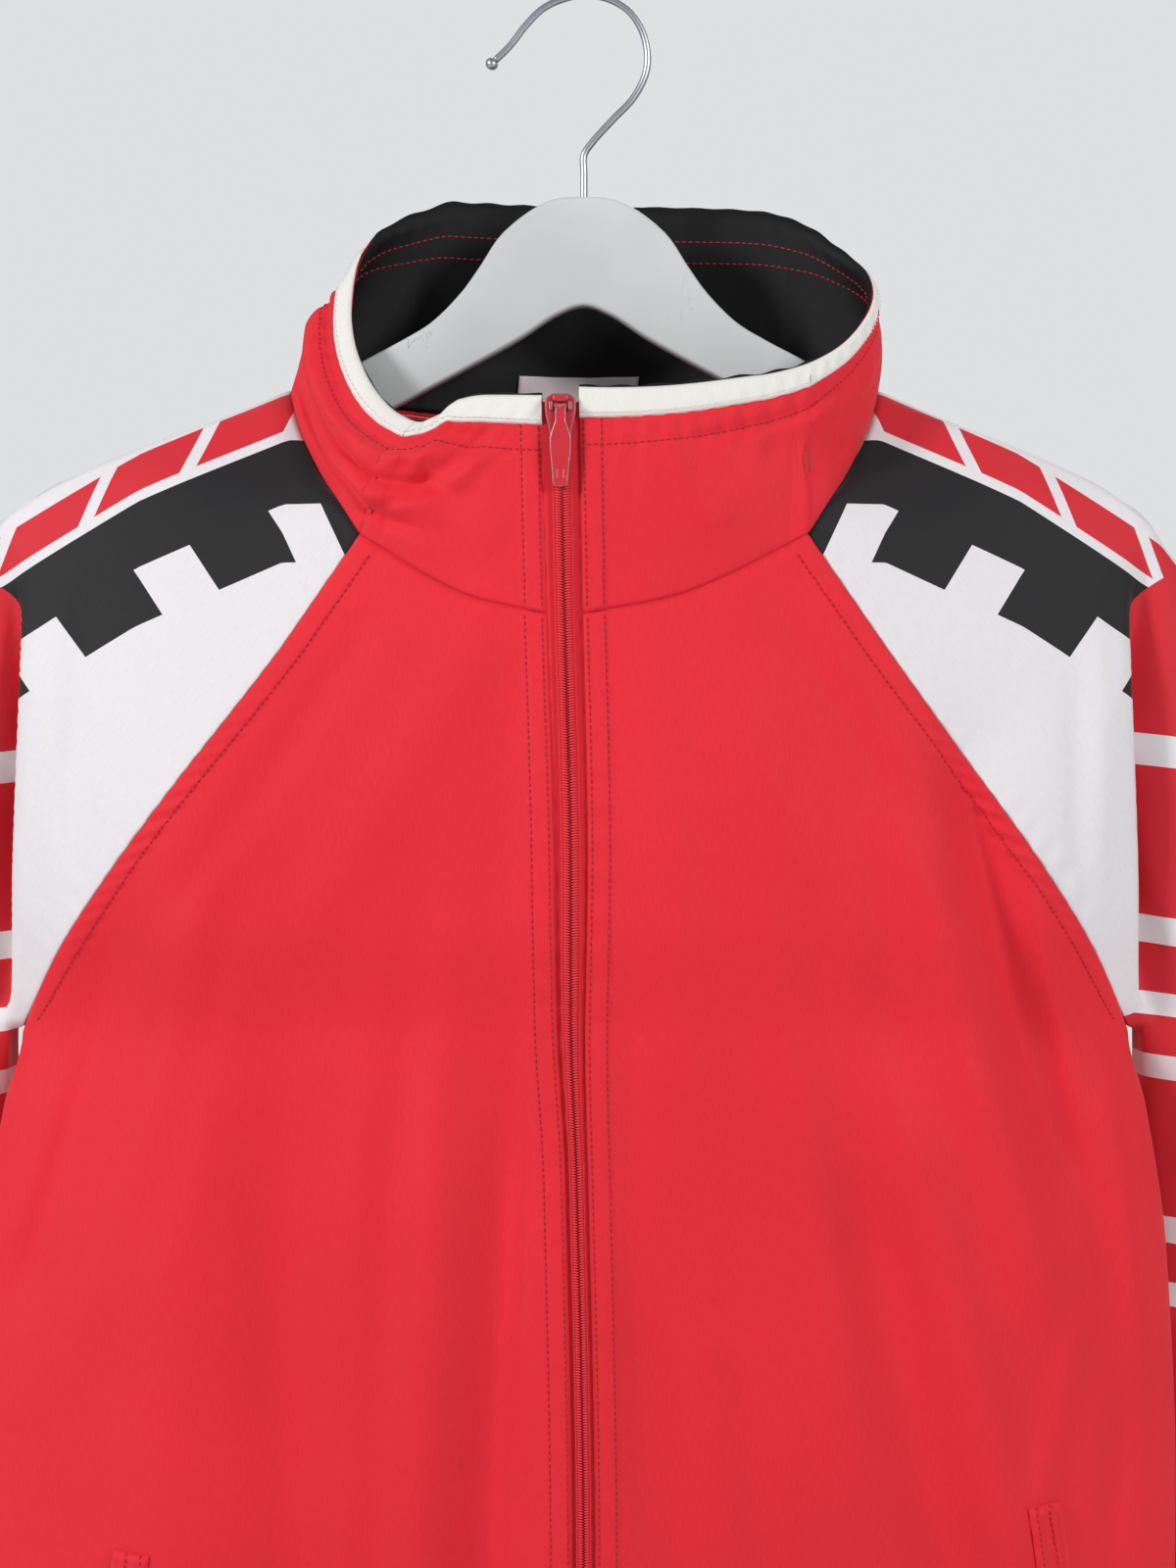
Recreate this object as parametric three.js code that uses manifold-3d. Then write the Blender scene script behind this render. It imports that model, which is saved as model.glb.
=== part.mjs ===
// Track jacket hanging on a flat hanger. Millimetres, +Z up, the front faces -Y.
// The origin is the top inside of the hook's bend, where a peg carries the hanger.
import * as THREE from 'three';
import { mergeVertices } from 'three/addons/utils/BufferGeometryUtils.js';
import Module from 'manifold-3d';

const wasm = await Module();
wasm.setup();

// Driving dimensions
const clothWall = 1.5;
const liningWall = 1.0;
const ribWall = 2.4;
const seamGap = 0.3;
const armpitZ = -461.5;
const bodyEndZ = -845;
const hemEndZ = -900;
const sleeveEndZ = -835;
const cuffEndZ = -890;
const neckFrontZ = -278;
const neckBackZ = -187;
const ridgeSlope = 0.5625;
const ridgeStart = { x: 131, z: -175 };
const sideSeamY = 4;
const wireRadius = 1.6;
const hangerHalf = 5;
const capRows = 14;
const bodyRows = 13;
const tubeRows = 11;
const frontCols = 10;
const backCols = 16;
const sleeveCols = 20;
const collarHeights = [0, 0.2, 0.4, 0.6, 0.8, 1];

// A table's column, read at a key by straight lines between its rows
function read(table, key, at, column) {
  const rising = table[1][key] > table[0][key] ? 1 : -1;
  const last = table.length - 1;
  if ((at - table[0][key]) * rising <= 0) return table[0][column];
  if ((at - table[last][key]) * rising >= 0) return table[last][column];
  let i = 0;
  while ((at - table[i + 1][key]) * rising > 0) i += 1;
  const a = table[i];
  const b = table[i + 1];
  const f = (at - a[key]) / (b[key] - a[key]);
  return a[column] + (b[column] - a[column]) * f;
}
const lerp = (a, b, f) => a + (b - a) * f;

// Levels of the front and back: half width, front depth, back depth, where the sides turn
const levels = [
  { z: -170, half: 264, front: 54, back: 40, frontEdge: 9, backEdge: 9 },
  { z: -243, half: 262, front: 55, back: 42, frontEdge: 9, backEdge: 9 },
  { z: -300, half: 247, front: 58, back: 43, frontEdge: 11, backEdge: 8 },
  { z: -350, half: 245, front: 61, back: 43, frontEdge: 12, backEdge: 7 },
  { z: -410, half: 243.5, front: 66, back: 43, frontEdge: 7, backEdge: 5 },
  { z: -461.5, half: 240.5, front: 70, back: 43, frontEdge: -4, backEdge: 4 },
  { z: -494, half: 248, front: 71, back: 43, frontEdge: -4, backEdge: 4 },
  { z: -560, half: 257, front: 70, back: 42, frontEdge: -4, backEdge: 4 },
  { z: -660, half: 261, front: 66, back: 40, frontEdge: -4, backEdge: 4 },
  { z: -760, half: 259, front: 56, back: 37, frontEdge: -4, backEdge: 4 },
  { z: -815, half: 249, front: 46, back: 33, frontEdge: -4, backEdge: 4 },
  { z: -845, half: 236, front: 40, back: 31, frontEdge: -4, backEdge: 4 },
  { z: -900, half: 224, front: 37, back: 29, frontEdge: -4, backEdge: 4 },
];

// Soft folds of the fronts: from and to, half width, depth (plus stands out)
const folds = [
  { x0: 165, z0: -361, x1: 200, z1: -496, wide: 13, deep: -7 },
  { x0: 150, z0: -400, x1: 192, z1: -560, wide: 14, deep: 6 },
  { x0: 128, z0: -560, x1: 166, z1: -720, wide: 16, deep: -7 },
  { x0: 146, z0: -518, x1: 180, z1: -670, wide: 14, deep: 6 },
  { x0: 232, z0: -500, x1: 246, z1: -600, wide: 10, deep: 4 },
  { x0: -200, z0: -435, x1: -234, z1: -560, wide: 15, deep: -7 },
  { x0: -165, z0: -420, x1: -180, z1: -760, wide: 26, deep: 6 },
  { x0: -130, z0: -560, x1: -120, z1: -800, wide: 16, deep: -6 },
  { x0: -34, z0: -540, x1: -48, z1: -800, wide: 13, deep: -8 },
  { x0: -66, z0: -540, x1: -78, z1: -800, wide: 13, deep: 6 },
  { x0: 34, z0: -600, x1: 48, z1: -820, wide: 14, deep: -5 },
];
// Folds of the back, out of the photo's sight, of the same kind
const backFolds = [
  { x0: -150, z0: -420, x1: -178, z1: -700, wide: 17, deep: -6 },
  { x0: -60, z0: -560, x1: -70, z1: -820, wide: 18, deep: 6 },
  { x0: 30, z0: -500, x1: 18, z1: -800, wide: 18, deep: -6 },
  { x0: 120, z0: -470, x1: 150, z1: -760, wide: 17, deep: 6 },
  { x0: 196, z0: -440, x1: 214, z1: -620, wide: 14, deep: -5 },
];

function foldDepth(list, x, z) {
  let sum = 0;
  for (const f of list) {
    const dx = f.x1 - f.x0;
    const dz = f.z1 - f.z0;
    const run = dx * dx + dz * dz;
    const t = ((x - f.x0) * dx + (z - f.z0) * dz) / run;
    const across = ((x - f.x0) * dz - (z - f.z0) * dx) / Math.sqrt(run);
    const along = t < 0 ? t / 0.25 : t > 1 ? (t - 1) / 0.25 : 0;
    sum += f.deep * Math.exp(-((across / f.wide) ** 2) - along * along);
  }
  return sum;
}

// Height of the shoulder ridge at a distance from the middle
const ridgeZ = (x) => ridgeStart.z - ridgeSlope * (Math.abs(x) - ridgeStart.x);

// The cloth stands off the ridge over this fall, and the folds die out this close to the sides
const ridgeFall = 60;
const foldFade = 2.2;
function surfaceY(x, z, side, edge, list, sign) {
  const half = read(levels, 'z', z, 'half');
  const round = Math.sqrt(Math.max(0, 1 - (x / half) ** 2));
  const below = 1 - Math.exp(-Math.max(0, ridgeZ(x) - z) / ridgeFall);
  const near = Math.min(1, round * foldFade) * below;
  const out = read(levels, 'z', z, edge) + read(levels, 'z', z, side) * round * below;
  return sign * (out + foldDepth(list, x, z) * near);
}
const frontY = (x, z) => surfaceY(x, z, 'front', 'frontEdge', folds, -1);
const backY = (x, z) => surfaceY(x, z, 'back', 'backEdge', backFolds, 1);

// The zip's line: centre and half of the opening between the two fronts
const zipLine = [
  { z: -186, x: -10, open: 8.2 },
  { z: -265, x: -8.5, open: 8.0 },
  { z: -393, x: -5.5, open: 7.2 },
  { z: -450, x: -5.5, open: 6.2 },
  { z: -520, x: -3, open: 4.8 },
  { z: -690, x: 0, open: 4.8 },
  { z: -900, x: 0, open: 5 },
];
const zipX = (z) => read(zipLine, 'z', z, 'x');
const zipOpen = (z) => read(zipLine, 'z', z, 'open');

// Raglan seams, from the neck (0) to the armpit (1)
const frontSeam = [
  { s: 0, x: 97, z: -243 },
  { s: 0.3, x: 142, z: -309 },
  { s: 0.5, x: 172, z: -351 },
  { s: 0.7, x: 200, z: -391 },
  { s: 0.85, x: 221, z: -424 },
  { s: 0.95, x: 234, z: -449 },
  { s: 1, x: 240.5, z: armpitZ },
];
const backSeam = [
  { s: 0, x: 84, z: -183 },
  { s: 0.3, x: 122, z: -257 },
  { s: 0.6, x: 168, z: -342 },
  { s: 0.85, x: 215, z: -417 },
  { s: 1, x: 240.5, z: armpitZ },
];
// Front neck seam from the zip to the raglan seam, as shares of the way
const neckDrop = [
  { f: 0, z: -278 },
  { f: 0.38, z: -271 },
  { f: 0.62, z: -262 },
  { f: 0.84, z: -251 },
  { f: 1, z: -243 },
];

// Sleeve guide lines on the right side: 0 neck, 0.4 shoulder tip, 1 armpit, 2 end of the sleeve
const outerLine = [
  { s: 0, x: 131, y: 0, z: -175 },
  { s: 0.2, x: 190, y: 0, z: -202.5 },
  { s: 0.4, x: 254, y: 2, z: -244 },
  { s: 0.48, x: 272, y: 5, z: -266 },
  { s: 0.6, x: 288, y: 9, z: -304 },
  { s: 0.8, x: 304, y: 14, z: -380 },
  { s: 1, x: 313, y: 20, z: armpitZ },
  { s: 1.15, x: 317, y: 29, z: -510 },
  { s: 1.5, x: 328, y: 36, z: -660 },
  { s: 1.8, x: 330, y: 36, z: -760 },
  { s: 2, x: 328, y: 35, z: sleeveEndZ },
];
const crestLine = [
  { s: 0, x: 116, y: -27, z: -214 },
  { s: 0.2, x: 174, y: -21, z: -213 },
  { s: 0.4, x: 236, y: -15, z: -254 },
  { s: 0.6, x: 238, y: -24, z: -312 },
  { s: 0.8, x: 241, y: -21, z: -385 },
  { s: 0.95, x: 243, y: -9, z: -445 },
  { s: 1, x: 246, y: -3, z: armpitZ },
  { s: 1.15, x: 250, y: 17, z: -510 },
  { s: 1.5, x: 257, y: 22, z: -660 },
  { s: 1.8, x: 263, y: 22, z: -760 },
  { s: 2, x: 268, y: 22, z: sleeveEndZ },
];
const valleyLine = [
  { s: 0, x: 126, y: -14, z: -194 },
  { s: 0.2, x: 183, y: -12, z: -203.5 },
  { s: 0.4, x: 244, y: -10, z: -248 },
  { s: 0.6, x: 235, y: -8, z: -310 },
  { s: 0.8, x: 236, y: -4, z: -384 },
  { s: 0.95, x: 245, y: -2, z: -445 },
  { s: 1, x: 254, y: -5, z: armpitZ },
  { s: 1.15, x: 260, y: 11, z: -510 },
  { s: 1.5, x: 269, y: 16, z: -660 },
  { s: 1.8, x: 275, y: 16, z: -760 },
  { s: 2, x: 280, y: 16, z: sleeveEndZ },
];
const lobeLine = [
  { s: 0, x: 130, y: -7, z: -181 },
  { s: 0.2, x: 188, y: -7, z: -200 },
  { s: 0.4, x: 252, y: -7, z: -243 },
  { s: 0.6, x: 256, y: -14, z: -306 },
  { s: 0.8, x: 266, y: -16, z: -382 },
  { s: 1, x: 276, y: -9, z: armpitZ },
  { s: 1.15, x: 282, y: 6, z: -510 },
  { s: 1.5, x: 292, y: 11, z: -660 },
  { s: 1.8, x: 297, y: 11, z: -760 },
  { s: 2, x: 300, y: 11, z: sleeveEndZ },
];
const lobeBackLine = [
  { s: 0, x: 124, y: 13, z: -173 },
  { s: 0.2, x: 184, y: 11, z: -202.5 },
  { s: 0.4, x: 246, y: 16, z: -252 },
  { s: 0.6, x: 272, y: 36, z: -308 },
  { s: 0.8, x: 284, y: 47, z: -382 },
  { s: 1, x: 290, y: 53, z: armpitZ },
  { s: 1.15, x: 292, y: 59, z: -510 },
  { s: 1.5, x: 299, y: 60, z: -660 },
  { s: 1.8, x: 303, y: 59, z: -760 },
  { s: 2, x: 304, y: 57, z: sleeveEndZ },
];
// Line under the arm, below the armpit
const innerLine = [
  { s: 1, x: 242.4, y: 5, z: -460.4 },
  { s: 1.05, x: 244, y: 17, z: -477 },
  { s: 1.15, x: 243, y: 33, z: -510 },
  { s: 1.5, x: 250, y: 38, z: -660 },
  { s: 1.8, x: 257, y: 38, z: -760 },
  { s: 2, x: 264, y: 37, z: sleeveEndZ },
];

function guide(table, s, hand) {
  const x = read(table, 's', s, 'x') * hand;
  return new THREE.Vector3(x, read(table, 's', s, 'y'), read(table, 's', s, 'z'));
}
function seamPoint(table, s, hand, depth) {
  const x = read(table, 's', s, 'x') * hand;
  const z = read(table, 's', s, 'z');
  return new THREE.Vector3(x, depth(x, z), z);
}

// Points at even steps along a smooth curve through the given points
function evenly(points, count) {
  const curve = new THREE.CatmullRomCurve3(points, false, 'centripetal');
  curve.arcLengthDivisions = 240;
  return curve.getSpacedPoints(count);
}

function sleeveGrid(hand) {
  const rows = [];
  for (let i = 0; i <= capRows + tubeRows; i += 1) {
    const s = i <= capRows ? i / capRows : 1 + ((i - capRows) / tubeRows) ** 1.35;
    const line = [];
    if (s < 1) {
      const start = seamPoint(frontSeam, s, hand, frontY);
      const crest = guide(crestLine, s, hand);
      const x = lerp(start.x, crest.x, 0.5);
      const z = lerp(start.z, crest.z, 0.5);
      line.push(start);
      if (s < 0.9 && s > 0) line.push(new THREE.Vector3(x, frontY(x, z), z));
    } else {
      line.push(guide(innerLine, s, hand));
    }
    line.push(guide(crestLine, s, hand));
    line.push(guide(valleyLine, s, hand));
    line.push(guide(lobeLine, s, hand));
    line.push(guide(outerLine, s, hand));
    const back = guide(lobeBackLine, s, hand);
    const end = s < 1 ? seamPoint(backSeam, s, hand, backY) : guide(innerLine, s, hand);
    const middle = back.clone().lerp(end, 0.55);
    middle.y += 3 + 6 * Math.min(1, s);
    line.push(back, middle, end);
    rows.push(evenly(line, sleeveCols));
  }
  return rows;
}

// Half of the garment's front: rows from the neck seam down, columns from the zip outwards
function frontGrid(hand) {
  const rows = [];
  for (let i = 0; i <= capRows + bodyRows; i += 1) {
    const s = Math.min(1, i / capRows);
    const low = (i - capRows) / bodyRows;
    const end = seamPoint(frontSeam, s, hand, frontY);
    if (i > capRows) {
      end.z = lerp(armpitZ, bodyEndZ, low);
      end.x = read(levels, 'z', end.z, 'half') * hand;
    }
    const startZ = i > capRows ? end.z : lerp(neckFrontZ, armpitZ, s);
    const startX = zipX(startZ) + hand * zipOpen(startZ);
    const row = [];
    for (let j = 0; j <= frontCols; j += 1) {
      const f = j / frontCols;
      const spread = i > capRows ? Math.sin((f * Math.PI) / 2) ** 0.9 : f;
      const mix = i > capRows ? lerp(f, spread, Math.min(1, low * 3)) : f;
      const x = lerp(startX, end.x, mix);
      const straight = lerp(neckFrontZ, neckDrop[4].z, f);
      const sag = (read(neckDrop, 'f', f, 'z') - straight) * (1 - s);
      const z = lerp(startZ, end.z, f) + sag;
      const last = j === frontCols && s === 1;
      row.push(new THREE.Vector3(x, last ? sideSeamY : frontY(x, z), z));
    }
    rows.push(row);
  }
  return rows;
}

function backGrid() {
  const rows = [];
  for (let i = 0; i <= capRows + bodyRows; i += 1) {
    const s = Math.min(1, i / capRows);
    const low = (i - capRows) / bodyRows;
    const end = seamPoint(backSeam, s, 1, backY);
    if (i > capRows) {
      end.z = lerp(armpitZ, bodyEndZ, low);
      end.x = read(levels, 'z', end.z, 'half');
    }
    const centreZ = i > capRows ? end.z : lerp(neckBackZ, armpitZ, s);
    const row = [];
    for (let j = 0; j <= backCols; j += 1) {
      const f = (2 * j) / backCols - 1;
      const spread = Math.sign(f) * Math.sin((Math.abs(f) * Math.PI) / 2) ** 0.9;
      const mix = i > capRows ? lerp(f, spread, Math.min(1, low * 3)) : f;
      const x = end.x * mix;
      const z = lerp(centreZ, end.z, f * f);
      const atSide = (j === 0 || j === backCols) && s === 1;
      row.push(new THREE.Vector3(x, atSide ? sideSeamY : backY(x, z), z));
    }
    rows.push(row);
  }
  return rows;
}

// Heights of the collar's rim on each side, from the front (-1) round to the back (1)
const rim = [
  { turn: -1, right: -181, left: -184.5 },
  { turn: -0.88, right: -176, left: -183.6 },
  { turn: -0.8, right: -173.5, left: -188 },
  { turn: -0.7, right: -169.5, left: -192.5 },
  { turn: -0.6, right: -164.5, left: -190 },
  { turn: -0.5, right: -159, left: -183.5 },
  { turn: -0.32, right: -148, left: -168 },
  { turn: 0, right: -131, left: -139 },
  { turn: 0.2, right: -121.5, left: -118 },
  { turn: 0.45, right: -110, left: -101 },
  { turn: 0.65, right: -97.5, left: -92 },
  { turn: 0.8, right: -90.5, left: -86 },
  { turn: 1, right: -86.5, left: -86.5 },
];
const rimHalf = 115.5;
const rimMiddleX = 12.5;
const collarFrontZ = -184;
const rimDepth = 53;
const ringMiddleY = -8;
const neckHalf = 131;
const neckDepth = { front: 56, back: 50 };
const collarBulge = 4;
// Beside the zip the collar's edge follows the zip, and over this reach it turns round the neck
const zipReach = 58;
// Rolls of the collar: turn round it, height, half widths each way, depth
const collarRolls = [
  { across: -0.72, f: 0.6, wideAcross: 0.24, wideF: 0.42, lean: 0, deep: 6 },
  { across: -0.5, f: 0.35, wideAcross: 0.12, wideF: 0.35, lean: -0.5, deep: -3 },
  { across: 0.8, f: 0.45, wideAcross: 0.14, wideF: 0.35, lean: 0.2, deep: -2.5 },
];

// Turn of a point on the front half of the rim
const rimTurn = (x) => -Math.sqrt(1 - ((x - rimMiddleX) / rimHalf) ** 2);

// Rows of points round the collar, at given shares of its height
function collarGrid(ring, heights) {
  return heights.map((f) =>
    ring.map((p) => {
      const deep = p.y < ringMiddleY ? neckDepth.front : neckDepth.back;
      const angle = Math.atan2((p.y - ringMiddleY) / deep, p.x / neckHalf);
      const turn = Math.sin(angle);
      const round = Math.cos(angle);
      const fromZip = Math.abs(p.x - zipX(neckFrontZ));
      const beside = 1 - (fromZip - zipLine[0].open) / zipReach;
      const near = p.y < ringMiddleY ? Math.min(1, Math.max(0, beside)) : 0;
      const besideZip = p.x + zipX(collarFrontZ) - zipX(neckFrontZ);
      const topX = lerp(rimMiddleX + rimHalf * round, besideZip, 1 - (1 - near) ** 2);
      const topTurn = near > 0 ? rimTurn(topX) : turn;
      const topY = ringMiddleY + rimDepth * topTurn;
      const topZ = read(rim, 'turn', topTurn, p.x > zipX(neckFrontZ) ? 'right' : 'left');
      let out = Math.sin(f * Math.PI) * collarBulge * lerp(1, 0.2, near);
      for (const roll of collarRolls) {
        const across = (round - roll.across - roll.lean * (f - roll.f)) / roll.wideAcross;
        const up = (f - roll.f) / roll.wideF;
        if (p.y < 0) out += roll.deep * Math.exp(-across * across - up ** 4) * Math.sin(f * Math.PI);
      }
      return new THREE.Vector3(lerp(p.x, topX, f) + out * round, lerp(p.y, topY, f) + out * turn, lerp(p.z, topZ, f));
    }),
  );
}

// Wall directions, shared by every panel that has a point in the same place
const wallDirections = new Map();
const placeKey = (p) => `${p.x.toFixed(3)},${p.y.toFixed(3)},${p.z.toFixed(3)}`;
function addDirections(rows, flip) {
  for (let i = 0; i < rows.length - 1; i += 1) {
    for (let j = 0; j < rows[i].length - 1; j += 1) {
      const corners = [rows[i][j], rows[i][j + 1], rows[i + 1][j + 1], rows[i + 1][j]];
      const a = corners[2].clone().sub(corners[0]);
      const b = corners[3].clone().sub(corners[1]);
      const n = a.cross(b).multiplyScalar(flip);
      for (const p of corners) {
        const key = placeKey(p);
        if (!wallDirections.has(key)) wallDirections.set(key, new THREE.Vector3());
        wallDirections.get(key).add(n);
      }
    }
  }
}
const direction = (p) => wallDirections.get(placeKey(p)).clone().normalize();

// Draws the edge rows and columns in, so that neighbours keep the seam gap
function drawIn(rows, amount, closedFrom) {
  const out = rows.map((row) => row.map((p) => p.clone()));
  const last = rows.length - 1;
  const end = rows[0].length - 1;
  const pull = (to, from, i, j) => {
    const step = from.clone().sub(rows[i][j]);
    to.add(step.multiplyScalar(amount / step.length()));
  };
  for (let i = 0; i <= last; i += 1) {
    if (i < closedFrom) {
      pull(out[i][0], rows[i][1], i, 0);
      pull(out[i][end], rows[i][end - 1], i, end);
    }
  }
  for (let j = 0; j <= end; j += 1) {
    pull(out[0][j], rows[1][j], 0, j);
    pull(out[last][j], rows[last - 1][j], last, j);
  }
  return out;
}

// Closes two facing grids of points into one solid wall
function wallGeometry(outer, inner, closedFrom) {
  const positions = [];
  const quad = (a, b, c, d) => {
    for (const p of [a, b, c, a, c, d]) positions.push(p.x, p.y, p.z);
  };
  const last = outer.length - 1;
  const end = outer[0].length - 1;
  for (let i = 0; i < last; i += 1) {
    for (let j = 0; j < end; j += 1) {
      quad(outer[i][j], outer[i][j + 1], outer[i + 1][j + 1], outer[i + 1][j]);
      quad(inner[i][j], inner[i + 1][j], inner[i + 1][j + 1], inner[i][j + 1]);
    }
    if (i < closedFrom) {
      quad(outer[i][0], outer[i + 1][0], inner[i + 1][0], inner[i][0]);
      quad(outer[i][end], inner[i][end], inner[i + 1][end], outer[i + 1][end]);
    }
  }
  for (let j = 0; j < end; j += 1) {
    quad(outer[0][j], inner[0][j], inner[0][j + 1], outer[0][j + 1]);
    quad(outer[last][j], outer[last][j + 1], inner[last][j + 1], inner[last][j]);
  }
  return finish(positions);
}

// Merges the points and turns the faces outwards
function finish(positions) {
  let geometry = new THREE.BufferGeometry();
  geometry.setAttribute('position', new THREE.Float32BufferAttribute(positions, 3));
  geometry = mergeVertices(geometry, 1e-3);
  const index = Array.from(geometry.index.array);
  const kept = [];
  for (let k = 0; k < index.length; k += 3) {
    const [a, b, c] = index.slice(k, k + 3);
    if (a !== b && b !== c && a !== c) kept.push(a, b, c);
  }
  geometry.setIndex(kept);
  if (volumeOf(geometry) < 0) {
    for (let k = 0; k < kept.length; k += 3) [kept[k], kept[k + 1]] = [kept[k + 1], kept[k]];
    geometry.setIndex(kept);
  }
  geometry.computeVertexNormals();
  return geometry;
}
function volumeOf(geometry) {
  const p = geometry.attributes.position;
  const index = geometry.index.array;
  const at = (k) => new THREE.Vector3().fromBufferAttribute(p, index[k]);
  let sum = 0;
  for (let k = 0; k < index.length; k += 3) sum += at(k).dot(at(k + 1).cross(at(k + 2))) / 6;
  return sum;
}

// A wall of even thickness on a grid that has its directions
function clothWallOn(rows, thick, shift, closedFrom, inset) {
  const shaped = drawIn(rows, inset, closedFrom);
  const moved = (amount) =>
    shaped.map((row, i) => row.map((p, j) => p.clone().addScaledVector(direction(rows[i][j]), amount)));
  return wallGeometry(moved(shift + thick / 2), moved(shift - thick / 2), closedFrom);
}

const materials = {
  red: { color: 0xd62b38, roughness: 0.72, metalness: 0 },
  white: { color: 0xf3f0ec, roughness: 0.75, metalness: 0 },
  black: { color: 0x121216, roughness: 0.85, metalness: 0 },
  hanger: { color: 0xdfe0e0, roughness: 0.42, metalness: 0 },
  chrome: { color: 0xc9ccd0, roughness: 0.12, metalness: 1 },
  label: { color: 0xd9cfd0, roughness: 0.8, metalness: 0 },
};
const garment = new THREE.Group();
function add(name, geometry, look) {
  const mesh = new THREE.Mesh(geometry, new THREE.MeshStandardMaterial(materials[look]));
  mesh.name = name;
  garment.add(mesh);
  return mesh;
}

// Beyond the neck the garment hangs wider than its tables, more so on its left
const wider = { from: 131, right: 0.03, left: 0.1 };
function widen(x) {
  const beyond = Math.max(0, Math.abs(x) - wider.from);
  return x > 0 ? x + beyond * wider.right : x - beyond * wider.left;
}
const widened = (rows) => rows.map((row) => row.map((p) => new THREE.Vector3(widen(p.x), p.y, p.z)));

// Panels
const sleeveRight = widened(sleeveGrid(1));
const sleeveLeft = widened(sleeveGrid(-1));
const frontRight = widened(frontGrid(1));
const frontLeft = widened(frontGrid(-1));
const back = widened(backGrid());
const neckRing = [
  ...frontRight[0],
  ...sleeveRight[0].slice(1),
  ...back[0].slice(0, -1).reverse(),
  ...sleeveLeft[0].slice(0, -1).reverse(),
  ...frontLeft[0].slice(0, -1).reverse(),
];
const collar = collarGrid(neckRing, collarHeights);
addDirections(sleeveRight, -1);
addDirections(sleeveLeft, 1);
addDirections(frontRight, -1);
addDirections(frontLeft, 1);
addDirections(back, 1);
addDirections(collar, 1);

const open = 1000;
const closed = 0;
const inset = seamGap / 2 + 0.02;
add('front_right', clothWallOn(frontRight, clothWall, 0, open, inset), 'red');
add('front_left', clothWallOn(frontLeft, clothWall, 0, open, inset), 'red');
add('back', clothWallOn(back, clothWall, 0, open, inset), 'red');
add('collar_outer', clothWallOn(collar, clothWall, 0, open, inset), 'red');
// Each sleeve is one cut piece, held here as its shoulder cap and its arm, parted at the armpit
for (const [name, rows] of [['right', sleeveRight], ['left', sleeveLeft]]) {
  add(`sleeve_cap_${name}`, clothWallOn(rows.slice(0, capRows + 1), clothWall, 0, capRows, inset), 'white');
  add(`sleeve_arm_${name}`, clothWallOn(rows.slice(capRows), clothWall, 0, closed, inset), 'white');
}

// Collar lining, inside the outer collar, and the trim on the outside of its rim
const liningShift = -(clothWall / 2 + 0.9 + liningWall / 2);
const liningRing = neckRing.filter((_, k) => k % 2 === 0);
const lining = collarGrid(liningRing, [0.07, ...collarHeights.slice(1)]);
addDirections(lining, 1);
add('collar_lining', clothWallOn(lining, liningWall, liningShift, open, inset), 'black');

const trimWall = 1;
const trimShift = clothWall / 2 + seamGap + 0.1 + trimWall / 2;
const trimRows = collarGrid(neckRing, [0.862, 1]);
addDirections(trimRows, 1);
const trimCols = 22;
for (const [name, from] of [['collar_trim_right', 0], ['collar_trim_left', neckRing.length - 1 - trimCols]]) {
  const part = trimRows.map((row) => row.slice(from, from + trimCols + 1));
  add(name, clothWallOn(part, trimWall, trimShift, open, inset), 'white');
}

// Plain neck label on the lining, at the middle of the back
const labelWall = 0.5;
const labelCols = { from: 17, to: 20 };
const labelRows = collarGrid(liningRing, [0.09, 0.2]).map((row) =>
  row.slice(labelCols.from, labelCols.to + 1),
);
addDirections(labelRows, 1);
const labelShift = liningShift - (liningWall / 2 + seamGap + 0.3 + labelWall / 2);
add('neck_label', clothWallOn(labelRows, labelWall, labelShift, open, 0.1), 'label');

// Zip: two tapes and the tooth chain, on the line where the fronts meet
const collarFrontY = ringMiddleY + rimDepth * rimTurn(zipX(collarFrontZ)) - 0.5;
function zipY(z) {
  const x = zipX(z);
  if (z <= neckFrontZ) return frontY(x, z);
  const f = (z - neckFrontZ) / (collarFrontZ - neckFrontZ);
  return lerp(frontY(x, neckFrontZ), collarFrontY, f) - Math.sin(f * Math.PI) * 0.8;
}
const zipTopZ = -187;
const zipSteps = 26;
const chainHalf = 3;
function strip(fromX, toX) {
  const rows = [];
  for (let i = 0; i <= zipSteps; i += 1) {
    const z = lerp(zipTopZ, bodyEndZ, i / zipSteps);
    const y = zipY(z);
    const middle = zipX(z);
    rows.push([fromX(z), toX(z)].map((x) => new THREE.Vector3(middle + x, y, z)));
  }
  addDirections(rows, -1);
  return rows;
}
const chain = strip(() => -chainHalf, () => chainHalf);
add('zip_chain', clothWallOn(chain, 2.2, 0, open, 0.02), 'red');
for (const [name, hand] of [['zip_tape_right', 1], ['zip_tape_left', -1]]) {
  const near = () => hand * (chainHalf + seamGap);
  const far = (z) => hand * (zipOpen(z) - 0.4);
  const tape = hand > 0 ? strip(near, far) : strip(far, near);
  add(name, clothWallOn(tape, 0.8, -0.2, open, 0.02), 'red');
}

// Slider body with two ears, and the pull tab hung between them
function solidOf(geometry) {
  const bare = geometry.clone();
  bare.deleteAttribute('normal');
  bare.deleteAttribute('uv');
  const merged = mergeVertices(bare, 1e-3);
  const mesh = new wasm.Mesh({
    numProp: 3,
    vertProperties: new Float32Array(merged.attributes.position.array),
    triVerts: new Uint32Array(merged.index.array),
  });
  return new wasm.Manifold(mesh);
}
function geometryOf(solid) {
  const mesh = solid.getMesh();
  const geometry = new THREE.BufferGeometry();
  geometry.setAttribute('position', new THREE.BufferAttribute(new Float32Array(mesh.vertProperties), 3));
  geometry.setIndex(Array.from(mesh.triVerts));
  geometry.computeVertexNormals();
  return geometry;
}
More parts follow.
